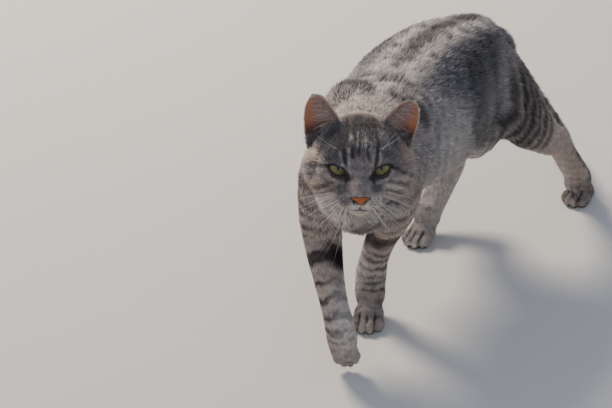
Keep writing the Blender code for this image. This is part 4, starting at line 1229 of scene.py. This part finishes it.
# painted lid shadow: the iris darkens toward its top
shadow = addNode(tree, "ShaderNodeMapRange", {"Value": split.outputs[2], "From Min": 0.55, "From Max": 1.0,
                                              "To Min": 1.0, "To Max": 0.58})
lit = addNode(tree, "ShaderNodeMath", {0: lit.outputs[0], 1: shadow.outputs[0]}, operation="MULTIPLY")
tone = addNode(tree, "ShaderNodeHueSaturation", {"Value": lit.outputs[0], "Color": ring.outputs[0]})
tone = addNode(tree, "ShaderNodeMix", {0: polar.outputs["Alpha"], 6: tone.outputs[0],
                                       7: hexColour("#060505")},
               data_type="RGBA")
tree.links.new(tone.outputs[2], surface.inputs["Base Color"])
surface.inputs["Roughness"].default_value = 0.35
surface.inputs["Specular IOR Level"].default_value = 0.2
surface.inputs["Coat Weight"].default_value = 0.6
surface.inputs["Coat Roughness"].default_value = 0.03

# whiskers: stiff clear white keratin, glossier than the fur
whiskerMaterial, tree, surface = newMaterial("whiskerHair")
where = addNode(tree, "ShaderNodeTexCoord").outputs["Object"]
length = addNode(tree, "ShaderNodeTexNoise", {"Vector": where, "Scale": 90.0})
tone = addNode(tree, "ShaderNodeMix", {0: length.outputs["Fac"], 6: hexColour("#f4efe6"),
                                       7: hexColour("#d9cfc0")},
               data_type="RGBA")
tree.links.new(tone.outputs[2], surface.inputs["Base Color"])
surface.inputs["Roughness"].default_value = 0.35

# paw pads: thick leathery skin, dark and matt with a fine pebble
padMaterial, tree, surface = newMaterial("padLeather")
where = addNode(tree, "ShaderNodeTexCoord").outputs["Object"]
pebbles = addNode(tree, "ShaderNodeTexVoronoi", {"Vector": where, "Scale": 1100.0})  # 0.9 mm pebbles
tone = addNode(tree, "ShaderNodeMix", {0: pebbles.outputs["Distance"], 6: hexColour("#3b2f2c"),
                                       7: hexColour("#241b19")},
               data_type="RGBA")
tree.links.new(tone.outputs[2], surface.inputs["Base Color"])
bump = addNode(tree, "ShaderNodeBump", {"Height": pebbles.outputs["Distance"], "Strength": 0.4,
                                        "Distance": 0.0004})
tree.links.new(bump.outputs[0], surface.inputs["Normal"])
surface.inputs["Roughness"].default_value = 0.6
print("materials made")

# The skin as a piece
skin = bpy.data.objects.new("skin", skinMesh)
bpy.context.scene.collection.objects.link(skin)
skinMesh.materials.clear()
skinMesh.materials.append(skinMaterial)
skinMesh.shade_smooth()
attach(skin, "root")
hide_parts(*fleshNodes)
storeColour(skin, "marking", skinMarks)


# The coat

def triangleArray(mesh):
    mesh.calc_loop_triangles()
    triangles = np.empty(len(mesh.loop_triangles) * 3, np.int32)
    mesh.loop_triangles.foreach_get("vertices", triangles)
    return triangles.reshape(-1, 3)


def tuftShape(root, lie, normal, size, rng, tousle=0.16):
    # each tuft is a slim closed spindle of six triangles: a root in the skin, a left, right and ridge
    # corner a little way along, and a tip that stands off the skin by the coat's depth
    count = len(root)
    length, width, depth = size.T / 100
    length = length * rng.uniform(0.72, 1.2, count)
    width = width * rng.uniform(0.75, 1.25, count)
    depth = depth * rng.uniform(0.55, 1.1, count)
    side = unit(np.cross(normal, lie))
    turn = rng.normal(0, tousle, count)[:, None]
    forward = unit(lie * np.cos(turn) + side * np.sin(turn))
    side = unit(np.cross(normal, forward))
    bend = rng.normal(0, 0.08, count)[:, None] * length[:, None] * side
    length, width, depth = length[:, None], width[:, None], depth[:, None]
    flat = np.sqrt(np.maximum(length ** 2 - depth ** 2, (0.5 * length) ** 2))
    middle = root + forward * flat * 0.42 + normal * depth * 0.62 + bend * 0.4
    corners = np.stack([
        root - normal * 0.0003,
        middle - side * width / 2,
        middle + side * width / 2,
        middle + normal * width * 0.32,
        root + forward * flat + normal * depth + bend,
    ], 1)
    corners[..., 2] = np.maximum(corners[..., 2], 0.0004)
    return corners


tuftFaces = np.array([(0, 3, 1), (0, 2, 3), (1, 3, 4), (3, 2, 4), (0, 1, 2), (1, 4, 2)])
tuftAlong = np.array([0.0, 0.42, 0.42, 0.42, 1.0])
tuftPatch = np.array([(0, -1), (-1, 0), (1, 0), (0.2, 0.2), (0, 1)]) * 0.0015


def growCoat(name, corners, marks, patch, lock, rng):
    # joins tufts into one piece, with their markings, their place along the hair and their map patches;
    # marks holds one row of four numbers for each of a tuft's five corners
    count = len(corners)
    faces = (tuftFaces[None] + (np.arange(count) * 5)[:, None, None]).reshape(-1, 3)
    a, b, c = (corners[:, tuftFaces[0][k]] for k in range(3))
    facing = (np.cross(b - a, c - a) * (a - corners.mean(1))).sum(1).sum()
    if facing < 0:
        faces = faces[:, ::-1]
    piece = meshObject(name, corners.reshape(-1, 3), faces, furMaterial)
    storeColour(piece, "marking", marks.reshape(-1, 4))
    strand = np.ones((count, 5, 4))
    strand[..., 0] = tuftAlong
    strand[..., 1] = rng.uniform(0, 1, (count, 1))
    strand[..., 2] = rng.uniform(0, 1, (count, 1))
    strand[..., 3] = np.clip(0.5 + 0.35 * lock, 0, 1)[:, None]
    storeColour(piece, "strand", strand.reshape(-1, 4))
    layer = piece.data.uv_layers.new(name="OFBake")
    where = (patch[:, None] + tuftPatch[None]).reshape(-1, 2)
    layer.data.foreach_set("uv", where[faces.ravel()].astype(np.float32).ravel())
    return piece


def tubeMap(points, fine, up=(0, 0, 1.0)):
    # unwraps a round part: the angle round its path one way and the length along it the other
    data = alongPath(points, fine)
    side = unit(np.cross(data["heading"], np.array(up)))
    above = np.cross(side, data["heading"])
    angle = np.arctan2((data["offset"] * side).sum(1), (data["offset"] * above).sum(1))
    along = data["along"] / pathLengths(fine)[-1]
    return np.column_stack([0.01 + 0.98 * (angle / (2 * np.pi) + 0.5), 0.01 + 0.98 * np.clip(along, 0, 1)])


def ballMap(head):
    # unwraps the head by longitude and latitude about its middle
    away = unit(head - [0, -2.4, -0.2])
    longitude = np.arctan2(away[:, 0], away[:, 1]) / (2 * np.pi) + 0.5
    latitude = np.arcsin(np.clip(away[:, 2], -1, 1)) / np.pi + 0.5
    return np.column_stack([0.01 + 0.98 * longitude, 0.01 + 0.98 * latitude])


triangles = triangleArray(skinMesh)
corner = [skinPoints[triangles[:, k]] for k in range(3)]
areas = np.linalg.norm(np.cross(corner[1] - corner[0], corner[2] - corner[0]), axis=1) / 2 * 1e4
shares = np.stack([place["share"][name] for name in place["names"]], 1)[triangles].mean(1)
region = np.array(place["names"])[shares.argmax(1)]
middleHead = place["head"][triangles].mean(1)
middleBody = place["body"][triangles].mean(1)
bare = smooth(eyeGap, 0.02, 0.1)  # no tufts grow in the eye's opening
noseGap = spotDistance(place["head"], (0.05, 2.35, -2.02), (0.76, 0.7, 0.42))
bare = bare * smooth(noseGap, 0.85, 1.15)
lineMiddle = np.interp(middleBody[:, 1], finePaths["trunk"][:, 1], finePaths["trunk"][:, 0])

coatPieces = {  # which triangles, how many times the tufts cover the skin, and the unwrap
    "coatFaceLeft": ((region == "head") & (middleHead[:, 1] > -1.6) & (middleHead[:, 0] > 0), 3.6, "ball"),
    "coatFaceRight": ((region == "head") & (middleHead[:, 1] > -1.6) & (middleHead[:, 0] <= 0), 3.6, "ball"),
    "coatCrown": ((region == "head") & (middleHead[:, 1] <= -1.6), 3.8, "ball"),
    "coatNeck": (region == "neck", 3.8, "neck"),
    "coatSideLeft": ((region == "trunk") & (middleBody[:, 0] > lineMiddle) & (middleBody[:, 2] > 17), 3.8,
                     "trunk"),
    "coatSideRight": ((region == "trunk") & (middleBody[:, 0] <= lineMiddle) & (middleBody[:, 2] > 17), 3.8,
                      "trunk"),
    "coatBelly": ((region == "trunk") & (middleBody[:, 2] <= 17), 3.4, "trunk"),
    "coatForeLeft": (region == "foreLeft", 1.95, "foreLeft"),
    "coatForeRight": (region == "foreRight", 1.95, "foreRight"),
    "coatHindLeft": (region == "hindLeft", 1.95, "hindLeft"),
    "coatHindRight": (region == "hindRight", 1.95, "hindRight"),
    "coatTail": (region == "tail", 3.2, "tail"),
}
mostTufts = 33000  # in one piece, six triangles each, which keeps it under 200,000
tuftShare = 0.93  # thins every piece alike, to keep the whole coat under 1.5 million triangles
tuftTotal = 0

# each corner of a tuft takes the markings of the skin it lies over, so that stripes stay crisp
skinTree = kdtree.KDTree(len(skinPoints))
for index, point in enumerate(skinPoints.tolist()):
    skinTree.insert(point, index)
skinTree.balance()


def marksAhead(share):
    # the markings found this share of a hair's length along the lie
    places = skinPoints + skinLie * coatSizes[:, :1] / 100 * share
    return skinMarks[[skinTree.find(place)[1] for place in places.tolist()]]


middleMarks, tipMarks = marksAhead(0.5), marksAhead(0.9)
for order, (name, (chosen, cover, unwrap)) in enumerate(coatPieces.items()):
    rng = np.random.default_rng(100 + order)
    picked = np.flatnonzero(chosen)
    own = triangles[picked]
    size = coatSizes[own].mean(1)
    amount = areas[picked] * cover * tuftShare / (size[:, 0] * size[:, 1] * 0.5) * bare[own].mean(1)
    count = int(min(amount.sum(), mostTufts))
    edges = np.cumsum(amount) / amount.sum()
    index = np.searchsorted(edges, (np.arange(count) + rng.uniform(0, 1, count)) / count)
    index = index.clip(0, len(own) - 1)
    weight = rng.dirichlet((1, 1, 1), count)
    at = own[index]

    def spread(values):
        return (values[at] * weight[..., None]).sum(1)

    root = spread(skinPoints)
    normal = unit(spread(skinNormals))
    lie = spread(skinLie)
    lie = unit(lie - normal * (lie * normal).sum(1, keepdims=True))
    sizes = spread(coatSizes)
    # longer hairs gather in locks that lean and stand a little their own way
    loose = smooth(sizes[:, 0], 0.3, 1.1)
    lock = waves(toBody(root), 0.7, 52)
    lie = unit(lie + (0.15 * loose * waves(toBody(root), 1.2, 51))[:, None] * np.cross(normal, lie))
    sizes[:, 2] *= 1 + 0.22 * loose * np.clip(lock, -1.2, 1.2)
    corners = tuftShape(root, lie, normal, sizes, rng)
    if unwrap == "ball":
        patch = ballMap(toHead(root))
    else:
        patch = tubeMap(toBody(root), finePaths[unwrap],
                        (0, 0, 1.0) if unwrap in ("trunk", "neck") else (0, 1.0, 0))
    middles = spread(middleMarks)
    marks = np.stack([spread(skinMarks), middles, middles, middles, spread(tipMarks)], 1)
    growCoat(name, corners, marks, patch, lock, rng)
    tuftTotal += count
    print(name, count, "tufts of", int(amount.sum()), "wanted")
print("coat:", tuftTotal, "tufts,", tuftTotal * 6, "triangles")


# Eyes

eyeSet = {"radius": 1.02, "cornea": 0.05, "iris": 58.0, "pupil": (0.075, 0.25), "rise": 22.0}


def eyeball(side):
    # a ball on a grid of rings round its line of sight, a little fuller over the iris; for each vertex the
    # distance out from the pupil, the direction round it and whether it lies in the slit
    middle = eyeMiddles[side]
    rise = math.radians(eyeSet["rise"])
    sight = headAxes.T @ np.array([0, math.cos(rise), math.sin(rise)])
    right = headLeft
    up = np.cross(sight, -right)
    out = np.concatenate([np.linspace(0.008, 1.1, 70), np.linspace(1.14, np.pi - 0.02, 26)])[:, None]
    turn = np.linspace(0, 2 * np.pi, 96, endpoint=False)[None]
    irisEdge = math.radians(eyeSet["iris"])
    radius = eyeSet["radius"] + eyeSet["cornea"] * smooth(out, irisEdge * 1.15, 0.2)
    plane = np.sin(out) * radius
    rings = (middle + (plane * np.cos(turn))[..., None] * right / 100
             + (plane * np.sin(turn))[..., None] * up / 100
             + ((np.cos(out) * radius) * np.ones_like(turn))[..., None] * sight / 100)
    points, faces = ringsToShape(rings)
    x, y = (plane * np.cos(turn)).ravel(), (plane * np.sin(turn)).ravel()
    wide, tall = eyeSet["pupil"]
    slit = (np.sqrt((x / (wide * np.sqrt(np.maximum(1 - (y / tall) ** 2, 0.02)))) ** 2)
            + 3 * smooth(np.abs(y), tall * 0.9, tall))
    values = np.column_stack([
        (out * np.ones_like(turn)).ravel() / irisEdge, np.cos(turn).repeat(len(out), 0).ravel() * 0.5 + 0.5,
        np.sin(turn).repeat(len(out), 0).ravel() * 0.5 + 0.5, smooth(slit, 1.25, 0.8)])
    values = np.vstack([values, [0, 0.5, 0.5, 1], [3, 0.5, 0.5, 0]])
    piece = meshObject("eyeball" + side.capitalize(), points, faces, eyeMaterial)
    storeColour(piece, "iris", values)
    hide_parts("eye_" + side)


def lidRims():
    # the bare edge of the lids: a tube round each opening, on the skin over the eyeball, thickest below
    shapes = []
    for side in (1, -1):
        curve = np.vstack([openingCurve, openingCurve[:1]])
        flat = np.column_stack([side * (headSet["eyeApart"] + curve[:, 0]), curve[:, 1]])
        path = ontoHead(flat)
        ball = np.array([side * headSet["eyeApart"], headSet["eyeForward"], 0])
        path = ball + (path - ball) * np.minimum(1, 1.12 / np.linalg.norm(path - ball, axis=1))[:, None]
        below = smooth(curve[:, 1], 0.3, -0.4)
        thick = 0.066 + 0.07 * below
        shapes.append(sweep(fromHead(path), thick / 100, 10))
    points, faces = joined(shapes)
    meshObject("lidEdges", points, faces, lidMaterial)


eyeball("left")
eyeball("right")
lidRims()
print("eyes made")


# Nose and mouth

noseSet = {"middle": (0.08, -2.0), "front": 2.47, "width": 0.77}


def noseLeather():
    # a wedge that narrows downward on a polar grid, domed forward, with a comma of shadow for each
    # nostril, closed behind
    turn = np.linspace(0, 2 * np.pi, 72, endpoint=False)
    share = np.concatenate([np.linspace(0.03, 1, 28), [1.03, 0.9]])[:, None]
    x, y = np.cos(turn), np.sin(turn)
    low = np.clip(-y, 0, 1)
    wide = noseSet["width"] * np.where(y < 0, 1 - 0.86 * low ** 1.15, 1.0)
    outline = np.column_stack([x * wide * np.where(y < 0, 1, 1 - 0.1 * np.abs(y)),
                               np.where(y < 0, y * 0.5, y * 0.26)])
    l = noseSet["middle"][0] + share * outline[None, :, 0]
    u = noseSet["middle"][1] + share * outline[None, :, 1]
    dome = 0.11 * np.sqrt(np.clip(1 - share ** 2.4, 0, 1))
    f = (noseSet["front"] - 0.5 * (np.abs(l) / 0.8) ** 2.2 - 0.42 * np.maximum(u + 2.0, 0)
         - 0.3 * np.maximum(-2.3 - u, 0) + dome)
    f[-2] -= 0.1
    f[-1] -= 0.5
    middle = np.abs(l - noseSet["middle"][0]) - 0.36
    nostril = np.sqrt((middle / 0.16) ** 2 + ((u + 2.2 - 0.35 * middle) / 0.095) ** 2)
    wing = np.sqrt(((middle - 0.2) / 0.17) ** 2 + ((u + 2.06) / 0.065) ** 2)
    hole = np.maximum(smooth(nostril, 1.2, 0.5), smooth(wing, 1.2, 0.5))
    groove = smooth(np.abs(l), 0.05, 0.0) * smooth(u, -2.05, -2.25)
    f = f - 0.16 * hole - 0.05 * groove
    rings = fromHead(np.stack([l, f, u], -1).reshape(-1, 3)).reshape(len(share), len(turn), 3)
    points, faces = ringsToShape(rings)
    below = smooth(np.broadcast_to(y, l.shape), 0.1, -0.25)
    rim = smooth(share, 0.9, 1.0) * (1 - below) + smooth(share, 0.72, 0.95) * below
    zone = np.column_stack([np.clip(0.9 * rim + 0.5 * groove, 0, 1).ravel(), hole.ravel(), np.zeros(l.size),
                            np.ones(l.size)])
    zone = np.vstack([zone, [0, 0, 0, 1], [1, 0, 0, 1]])
    piece = meshObject("noseTip", points, faces, noseMaterial)
    storeColour(piece, "zone", zone)
    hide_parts("nose")


def lips():
    # thin dark lines laid along the mouth and the groove below the nose
    right = finePath(mouthPath, 6)
    both = np.vstack([right[::-1] * [-1, 1, 1], right[1:]])
    mouth = ontoHead(both[:, [0, 2]])
    thick = 0.05 * smooth(np.abs(both[:, 0]), 1.5, 0.2) + 0.006
    middle = ontoHead(np.column_stack([np.zeros(10), np.linspace(-2.42, -3.06, 10)])) + [0, 0.05, 0]
    points, faces = joined([sweep(fromHead(mouth), thick / 100, 6),
                            sweep(fromHead(middle), np.linspace(0.075, 0.04, 10) / 100, 6)])
    meshObject("lipEdges", points, faces, lidMaterial)


noseLeather()
lips()
print("nose and mouth made")


# Ears

earSet = {
    "left": {"inner": (1.75, -2.9, 3.3), "outer": (4.35, -4.2, 0.9), "tip": (4.9, -3.4, 5.4)},
    "right": {"inner": (-1.5, -2.9, 3.3), "outer": (-4.55, -4.2, 1.1), "tip": (-4.15, -3.3, 6.0)},
    "hollow": 1.25, "thickness": 0.13, "hairs": 190, "base": 420,
}


def earSurface(side, across, rise):
    # the ear's bowl: a leaf that narrows from its two feet to the tip, bowed back between its edges
    e = {k: np.array(v, float) for k, v in earSet[side].items()}
    foot = (e["inner"] + e["outer"]) / 2
    half = (e["outer"] - e["inner"]) / 2
    lean = unit(np.array([0.25 * np.sign(e["tip"][0]), -1, -0.1]))
    low = np.minimum(rise, 0)
    r = np.clip(rise, 0, 1)
    width = np.sqrt(np.maximum(1 - r ** 1.7, 0)) * 0.94 + 0.06 * (1 - r)
    centre = foot + rise[..., None] * (e["tip"] - foot)
    bow = earSet["hollow"] * (1 - across ** 2) * (1 - r) ** 0.7
    inward = 0.12 * np.sin(np.pi * r) * across ** 2
    return (centre + (across * width)[..., None] * half + (bow + inward)[..., None] * lean
            + low[..., None] * 0.5 * lean)


def earShell(side):
    # rings up the ear, each running across the inside and back across the outside, closed at base and tip
    rows, columns = 34, 22
    rise = np.concatenate([[-0.22, -0.1], np.sin(np.linspace(0, np.pi / 2, rows)) * 0.998])[:, None]
    across = np.sin(np.linspace(-np.pi / 2, np.pi / 2, columns))[None]
    r, a = np.broadcast_arrays(rise, across)
    inside = earSurface(side, a, r)
    du, dv = np.gradient(inside, axis=1), np.gradient(inside, axis=0)
    square = unit(np.cross(du, dv))
    square = np.where((square[..., 1:2] > 0), -square, square)  # faces the back of the head
    thick = earSet["thickness"] * np.sqrt(np.maximum(1 - a ** 4, 0)) * (1 - 0.5 * np.clip(r, 0, 1))
    outside = inside + square * thick[..., None]
    rings = np.concatenate([inside, outside[:, -2:0:-1]], axis=1)
    rows = len(rise)
    points, faces = ringsToShape(fromHead(rings.reshape(-1, 3)).reshape(rows, -1, 3))
    isBack = np.concatenate([np.zeros_like(a), np.ones((rows, columns - 2))], axis=1)
    fullA = np.concatenate([a, a[:, -2:0:-1]], axis=1)
    fullR = np.concatenate([r, r[:, :columns - 2]], axis=1)
    # painted shade deep in the bowl, painted rim light along the edges, painted light through the outer skin
    deep = smooth(fullR - 0.16 * fullA, 0.5, 0.08) * (1 - isBack)
    rim = np.maximum(smooth(np.abs(fullA), 0.93, 0.995), smooth(fullR, 0.95, 0.99)) * 0.8
    outer = smooth(fullA + 0.3 * fullR + 0.1 * np.sin(17 * fullR), 0.2, 0.9)
    zone = np.stack([deep * 0.9, isBack, rim, outer], -1).reshape(-1, 4)
    zone = np.vstack([zone, [1, 0, 0, 0], [0, 0, 1, 1]])
    piece = meshObject("earShell" + side.capitalize(), points, faces, earMaterial)
    storeColour(piece, "zone", zone)
    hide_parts("ear_" + side)


def earCoat(side, order):
    # short fur over the back of the ear and its edge, and long pale hairs that sweep out over the bowl
    rng = np.random.default_rng(300 + order)
    count = 4400
    r = rng.uniform(-0.1, 0.985, count)
    a = rng.uniform(-1, 1, count)
    step = 0.01
    at = earSurface(side, a, r)
    du = earSurface(side, np.clip(a + step, -1, 1), r) - earSurface(side, np.clip(a - step, -1, 1), r)
    dv = earSurface(side, a, np.minimum(r + step, 0.995)) - earSurface(side, a, r - step)
    square = unit(np.cross(du, dv))
    square = np.where(square[:, 1:2] > 0, -square, square)
    lie = unit(dv)
    thick = earSet["thickness"] * np.sqrt(np.maximum(1 - a ** 4, 0)) * (1 - 0.5 * np.clip(r, 0, 1))
    root = fromHead(at + square * thick[:, None])
    size = np.tile([0.5, 0.05, 0.1], (count, 1)) * np.where(r > 0.85, 0.6, 1)[:, None]
    back = tuftShape(root, lie @ headAxes, square @ headAxes, size, rng)
    # the fur along the ear's edge is pale: painted rim light
    tip = smooth(r, 0.6, 0.95)
    edge = np.maximum(smooth(np.abs(a), 0.7, 0.95), smooth(r, 0.88, 0.97))
    marks = np.column_stack([(0.15 + 0.3 * tip) * (1 - edge), 0.35 * (1 - edge), 0.5 + 0 * edge,
                             0.15 + 0.7 * edge])
    patch = np.column_stack([0.02 + 0.44 * (a + 1) / 2, 0.02 + 0.95 * np.clip(r + 0.1, 0, 1) / 1.1])

    many = earSet["hairs"]
    along = rng.uniform(0.02, 0.74, many)
    where = -rng.uniform(0.66, 1.0, many)
    start = earSurface(side, where, along)
    goal = earSurface(side, where + rng.uniform(0.8, 1.8, many), along + rng.uniform(0.05, 0.26, many))
    lean = unit(goal - start)
    length = rng.uniform(0.9, 2.5, many) * (1 - 0.4 * along)
    lift = np.array([0, 1.0, 0.1])
    lift = unit(lift - lean * (lean @ lift)[:, None])
    size = np.column_stack([length, np.full(many, 0.032), length * 0.16])
    long = tuftShape(fromHead(start + lift * 0.02), lean @ headAxes, lift @ headAxes, size, rng, 0.1)
    longMarks = np.column_stack([rng.uniform(0, 0.3, many), np.full(many, 0.05), np.full(many, 0.9),
                                 rng.uniform(0, 0.6, many)])
    longPatch = np.column_stack([0.54 + 0.44 * (where + 1), 0.02 + 0.95 * along])

    few = earSet["base"]
    along = rng.uniform(-0.16, 0.1, few)
    where = rng.uniform(-1, 1, few)
    start = earSurface(side, where, along)
    reach = unit(earSurface(side, where, along + 0.3) - start + rng.normal(0, 0.16, (few, 3)))
    lift = unit(np.array([0, 1.0, 0.1]) - reach * reach[:, 1:2])
    size = np.column_stack([rng.uniform(0.6, 1.25, few), np.full(few, 0.045), np.full(few, 0.3)])
    low = tuftShape(fromHead(start + lift * 0.05), reach @ headAxes, lift @ headAxes, size, rng, 0.2)
    lowMarks = np.column_stack([rng.uniform(0.2, 0.6, few), np.full(few, 0.7), np.full(few, 0.15),
                                rng.uniform(0, 0.3, few)])
    lowPatch = np.column_stack([0.54 + 0.22 * (where + 1), 0.02 + 0.9 * (along + 0.16)])
    lock = rng.normal(0, 0.8, count + many + few)
    allMarks = np.repeat(np.vstack([marks, longMarks, lowMarks])[:, None], 5, axis=1)
    growCoat("coatEar" + side.capitalize(), np.vstack([back, long, low]), allMarks,
             np.vstack([patch, longPatch, lowPatch]), lock, rng)


for order, side in enumerate(("left", "right")):
    earShell(side)
    earCoat(side, order)
print("ears made")


# Whiskers and brow hairs

whiskerSet = {
    "reach": (1.2, 1.5),  # how far a hair may pass the solids, to the cat's left and ahead
    "radius": 0.018,
    # how many, shortest, longest, first and last angle of the fan below level
    "right": (14, 4.3, 6.0, 8, 78),
    "left": (9, 2.8, 3.9, 6, 58),
}
browHairs = [("left", 1.7, 1.9, 0.95, 0.7, 3.3), ("left", 1.9, 1.85, 0.6, 0.9, 2.4),
             ("right", 1.9, 1.9, 0.8, 0.6, 2.3)]


def tooFar(points):
    # whether a whisker passes the solids by more than its reach, to the cat's left or ahead
    left, ahead = np.array(whiskerSet["reach"]) / 100
    return points[:, 0].max() > cadBox[1][0] + left or points[:, 1].min() < cadBox[0][1] - ahead


def whiskers():
    # each hair starts in the whisker pad and bends evenly toward its tip, where it thins to a point
    shapes = []
    rng = np.random.default_rng(77)
    t = np.linspace(0, 1, 14)[:, None]
    for side, name in ((1, "left"), (-1, "right")):
        count, short, long, first, last = whiskerSet[name]
        for k in range(count):
            share = k / (count - 1)
            l = 2.25 - 1.2 * share + rng.uniform(-0.2, 0.2)
            u = -2.0 - 0.7 * share + rng.uniform(-0.15, 0.15)
            root = ontoHead(np.array([[side * l, u]]))[0]
            length = rng.uniform(short, long)
            fan = math.radians(-first - (last - first) * share + rng.uniform(-4, 4))
            start = np.array([side * math.cos(fan), 0.35 - 0.2 * share, math.sin(fan)])
            droop = np.array([0.2 * side, -0.75, -0.42 + 0.3 * share])
            bent = unit(start) * t + droop * 0.4 * t ** 2
            while tooFar(fromHead(root + length * bent)):
                length *= 0.95
            path = root + length * bent
            shapes.append(sweep(fromHead(path), whiskerSet["radius"] / 100 * (1.02 - t[:, 0] * 0.92), 5))
    for name, l, u, out, up, length in browHairs:
        side = 1 if name == "left" else -1
        root = ontoHead(np.array([[side * l, u]]))[0]
        path = root + length * (unit(np.array([side * out, 0.4, up])) * t
                                + np.array([0.1 * side, -0.4, 0]) * t ** 2)
        shapes.append(sweep(fromHead(path), 0.015 / 100 * (1.02 - t[:, 0] * 0.9), 5))
    points, faces = joined(shapes)
    points[:, 2] = np.maximum(points[:, 2], 0.001)
    meshObject("whiskers", points, faces, whiskerMaterial)


whiskers()
print("whiskers made")


# Paw pads

padSet = {"toe": (0.34, 0.5, 0.26), "main": (0.72, 0.55, 0.34)}


def ovalShape(middle, axes, half, rows=14, columns=20):
    # an oval on rings from pole to pole
    out = np.linspace(0.12, np.pi - 0.12, rows)[:, None]
    turn = np.linspace(0, 2 * np.pi, columns, endpoint=False)[None]
    local = np.stack([np.sin(out) * np.cos(turn) * half[0], np.sin(out) * np.sin(turn) * half[1],
                      np.cos(out) * np.ones_like(turn) * half[2]], -1)
    return ringsToShape(middle + local @ axes)


def pawPads():
    shapes = []
    for name in pawSet:
        middle, axes, scale = pawAxes(name)
        for across, ahead in toeSet["places"]:
            at = middle + scale * np.array([across, ahead + 0.25, -toeSet["drop"] - 0.34]) @ axes
            shapes.append(ovalShape(at, axes, scale * np.array(padSet["toe"])))
        shapes.append(ovalShape(middle + scale * np.array([0, 0.1, -0.68]) @ axes, axes,
                                scale * np.array(padSet["main"])))
    points, faces = joined(shapes)
    points[:, 2] = np.maximum(points[:, 2], 0.02 + 0.01 * np.sin(points[:, 0] * 9))
    meshObject("pawPads", fromBody(points), faces, padMaterial)


pawPads()
print("paw pads made")


# Floor, light and camera

stageSet = {"azimuth": 28.0, "elevation": 29.0, "target": (0.0, 0.0, 15.0), "distance": 2.6, "lens": 165.2}

floorMaterial, tree, surface = newMaterial("paleFloor")
surface.inputs["Base Color"].default_value = hexColour("#d4d1cc")
surface.inputs["Roughness"].default_value = 0.75
floorMesh = bpy.data.meshes.new("floor")
floorMesh.from_pydata([(-6, -6, 0), (6, -6, 0), (6, 6, 0), (-6, 6, 0)], [], [(0, 1, 2, 3)])
floor = bpy.data.objects.new("floor", floorMesh)
floorMesh.materials.append(floorMaterial)
bpy.context.scene.collection.objects.link(floor)
floor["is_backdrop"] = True


def aimed(data, name, place, target):
    thing = bpy.data.objects.new(name, data)
    thing.location = place
    thing.rotation_mode = "QUATERNION"
    thing.rotation_quaternion = (Vector(target) - Vector(place)).to_track_quat("-Z", "Y")
    bpy.context.scene.collection.objects.link(thing)
    return thing


def softbox(name, place, target, size, power, colour):
    lamp = bpy.data.lights.new(name, "AREA")
    lamp.shape = "DISK"
    lamp.size = size
    lamp.energy = power
    lamp.color = hexColour(colour)[:3]
    aimed(lamp, name, place, target).visible_glossy = False  # no white disc mirrored in the eyes


softbox("keyLight", (-1.8, 0.8, 1.9), (0, -0.05, 0.15), 0.9, 105, "#fff1dd")
softbox("fillLight", (0.9, -2.1, 1.6), (0, 0, 0.15), 1.6, 16, "#e6eeff")
world = bpy.data.worlds.new("studio")
bpy.context.scene.world = world
world.use_nodes = True
world.node_tree.nodes["Background"].inputs[0].default_value = hexColour("#d3def3")
world.node_tree.nodes["Background"].inputs[1].default_value = 0.55

azimuth, elevation = math.radians(stageSet["azimuth"]), math.radians(stageSet["elevation"])
back = Vector((math.sin(azimuth) * math.cos(elevation), -math.cos(azimuth) * math.cos(elevation),
               math.sin(elevation)))
lens = bpy.data.cameras.new("camera")
lens.lens = stageSet["lens"]
lens.sensor_width = 36
target = Vector([float(v) for v in fromBody(stageSet["target"])])
bpy.context.scene.camera = aimed(lens, "camera", target + back * stageSet["distance"], target)

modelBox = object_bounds()
over = [round(1000 * (modelBox[1][k] - modelBox[0][k] - cadBox[1][k] + cadBox[0][k]), 1) for k in range(3)]
print("sides over the solids, mm:", over)
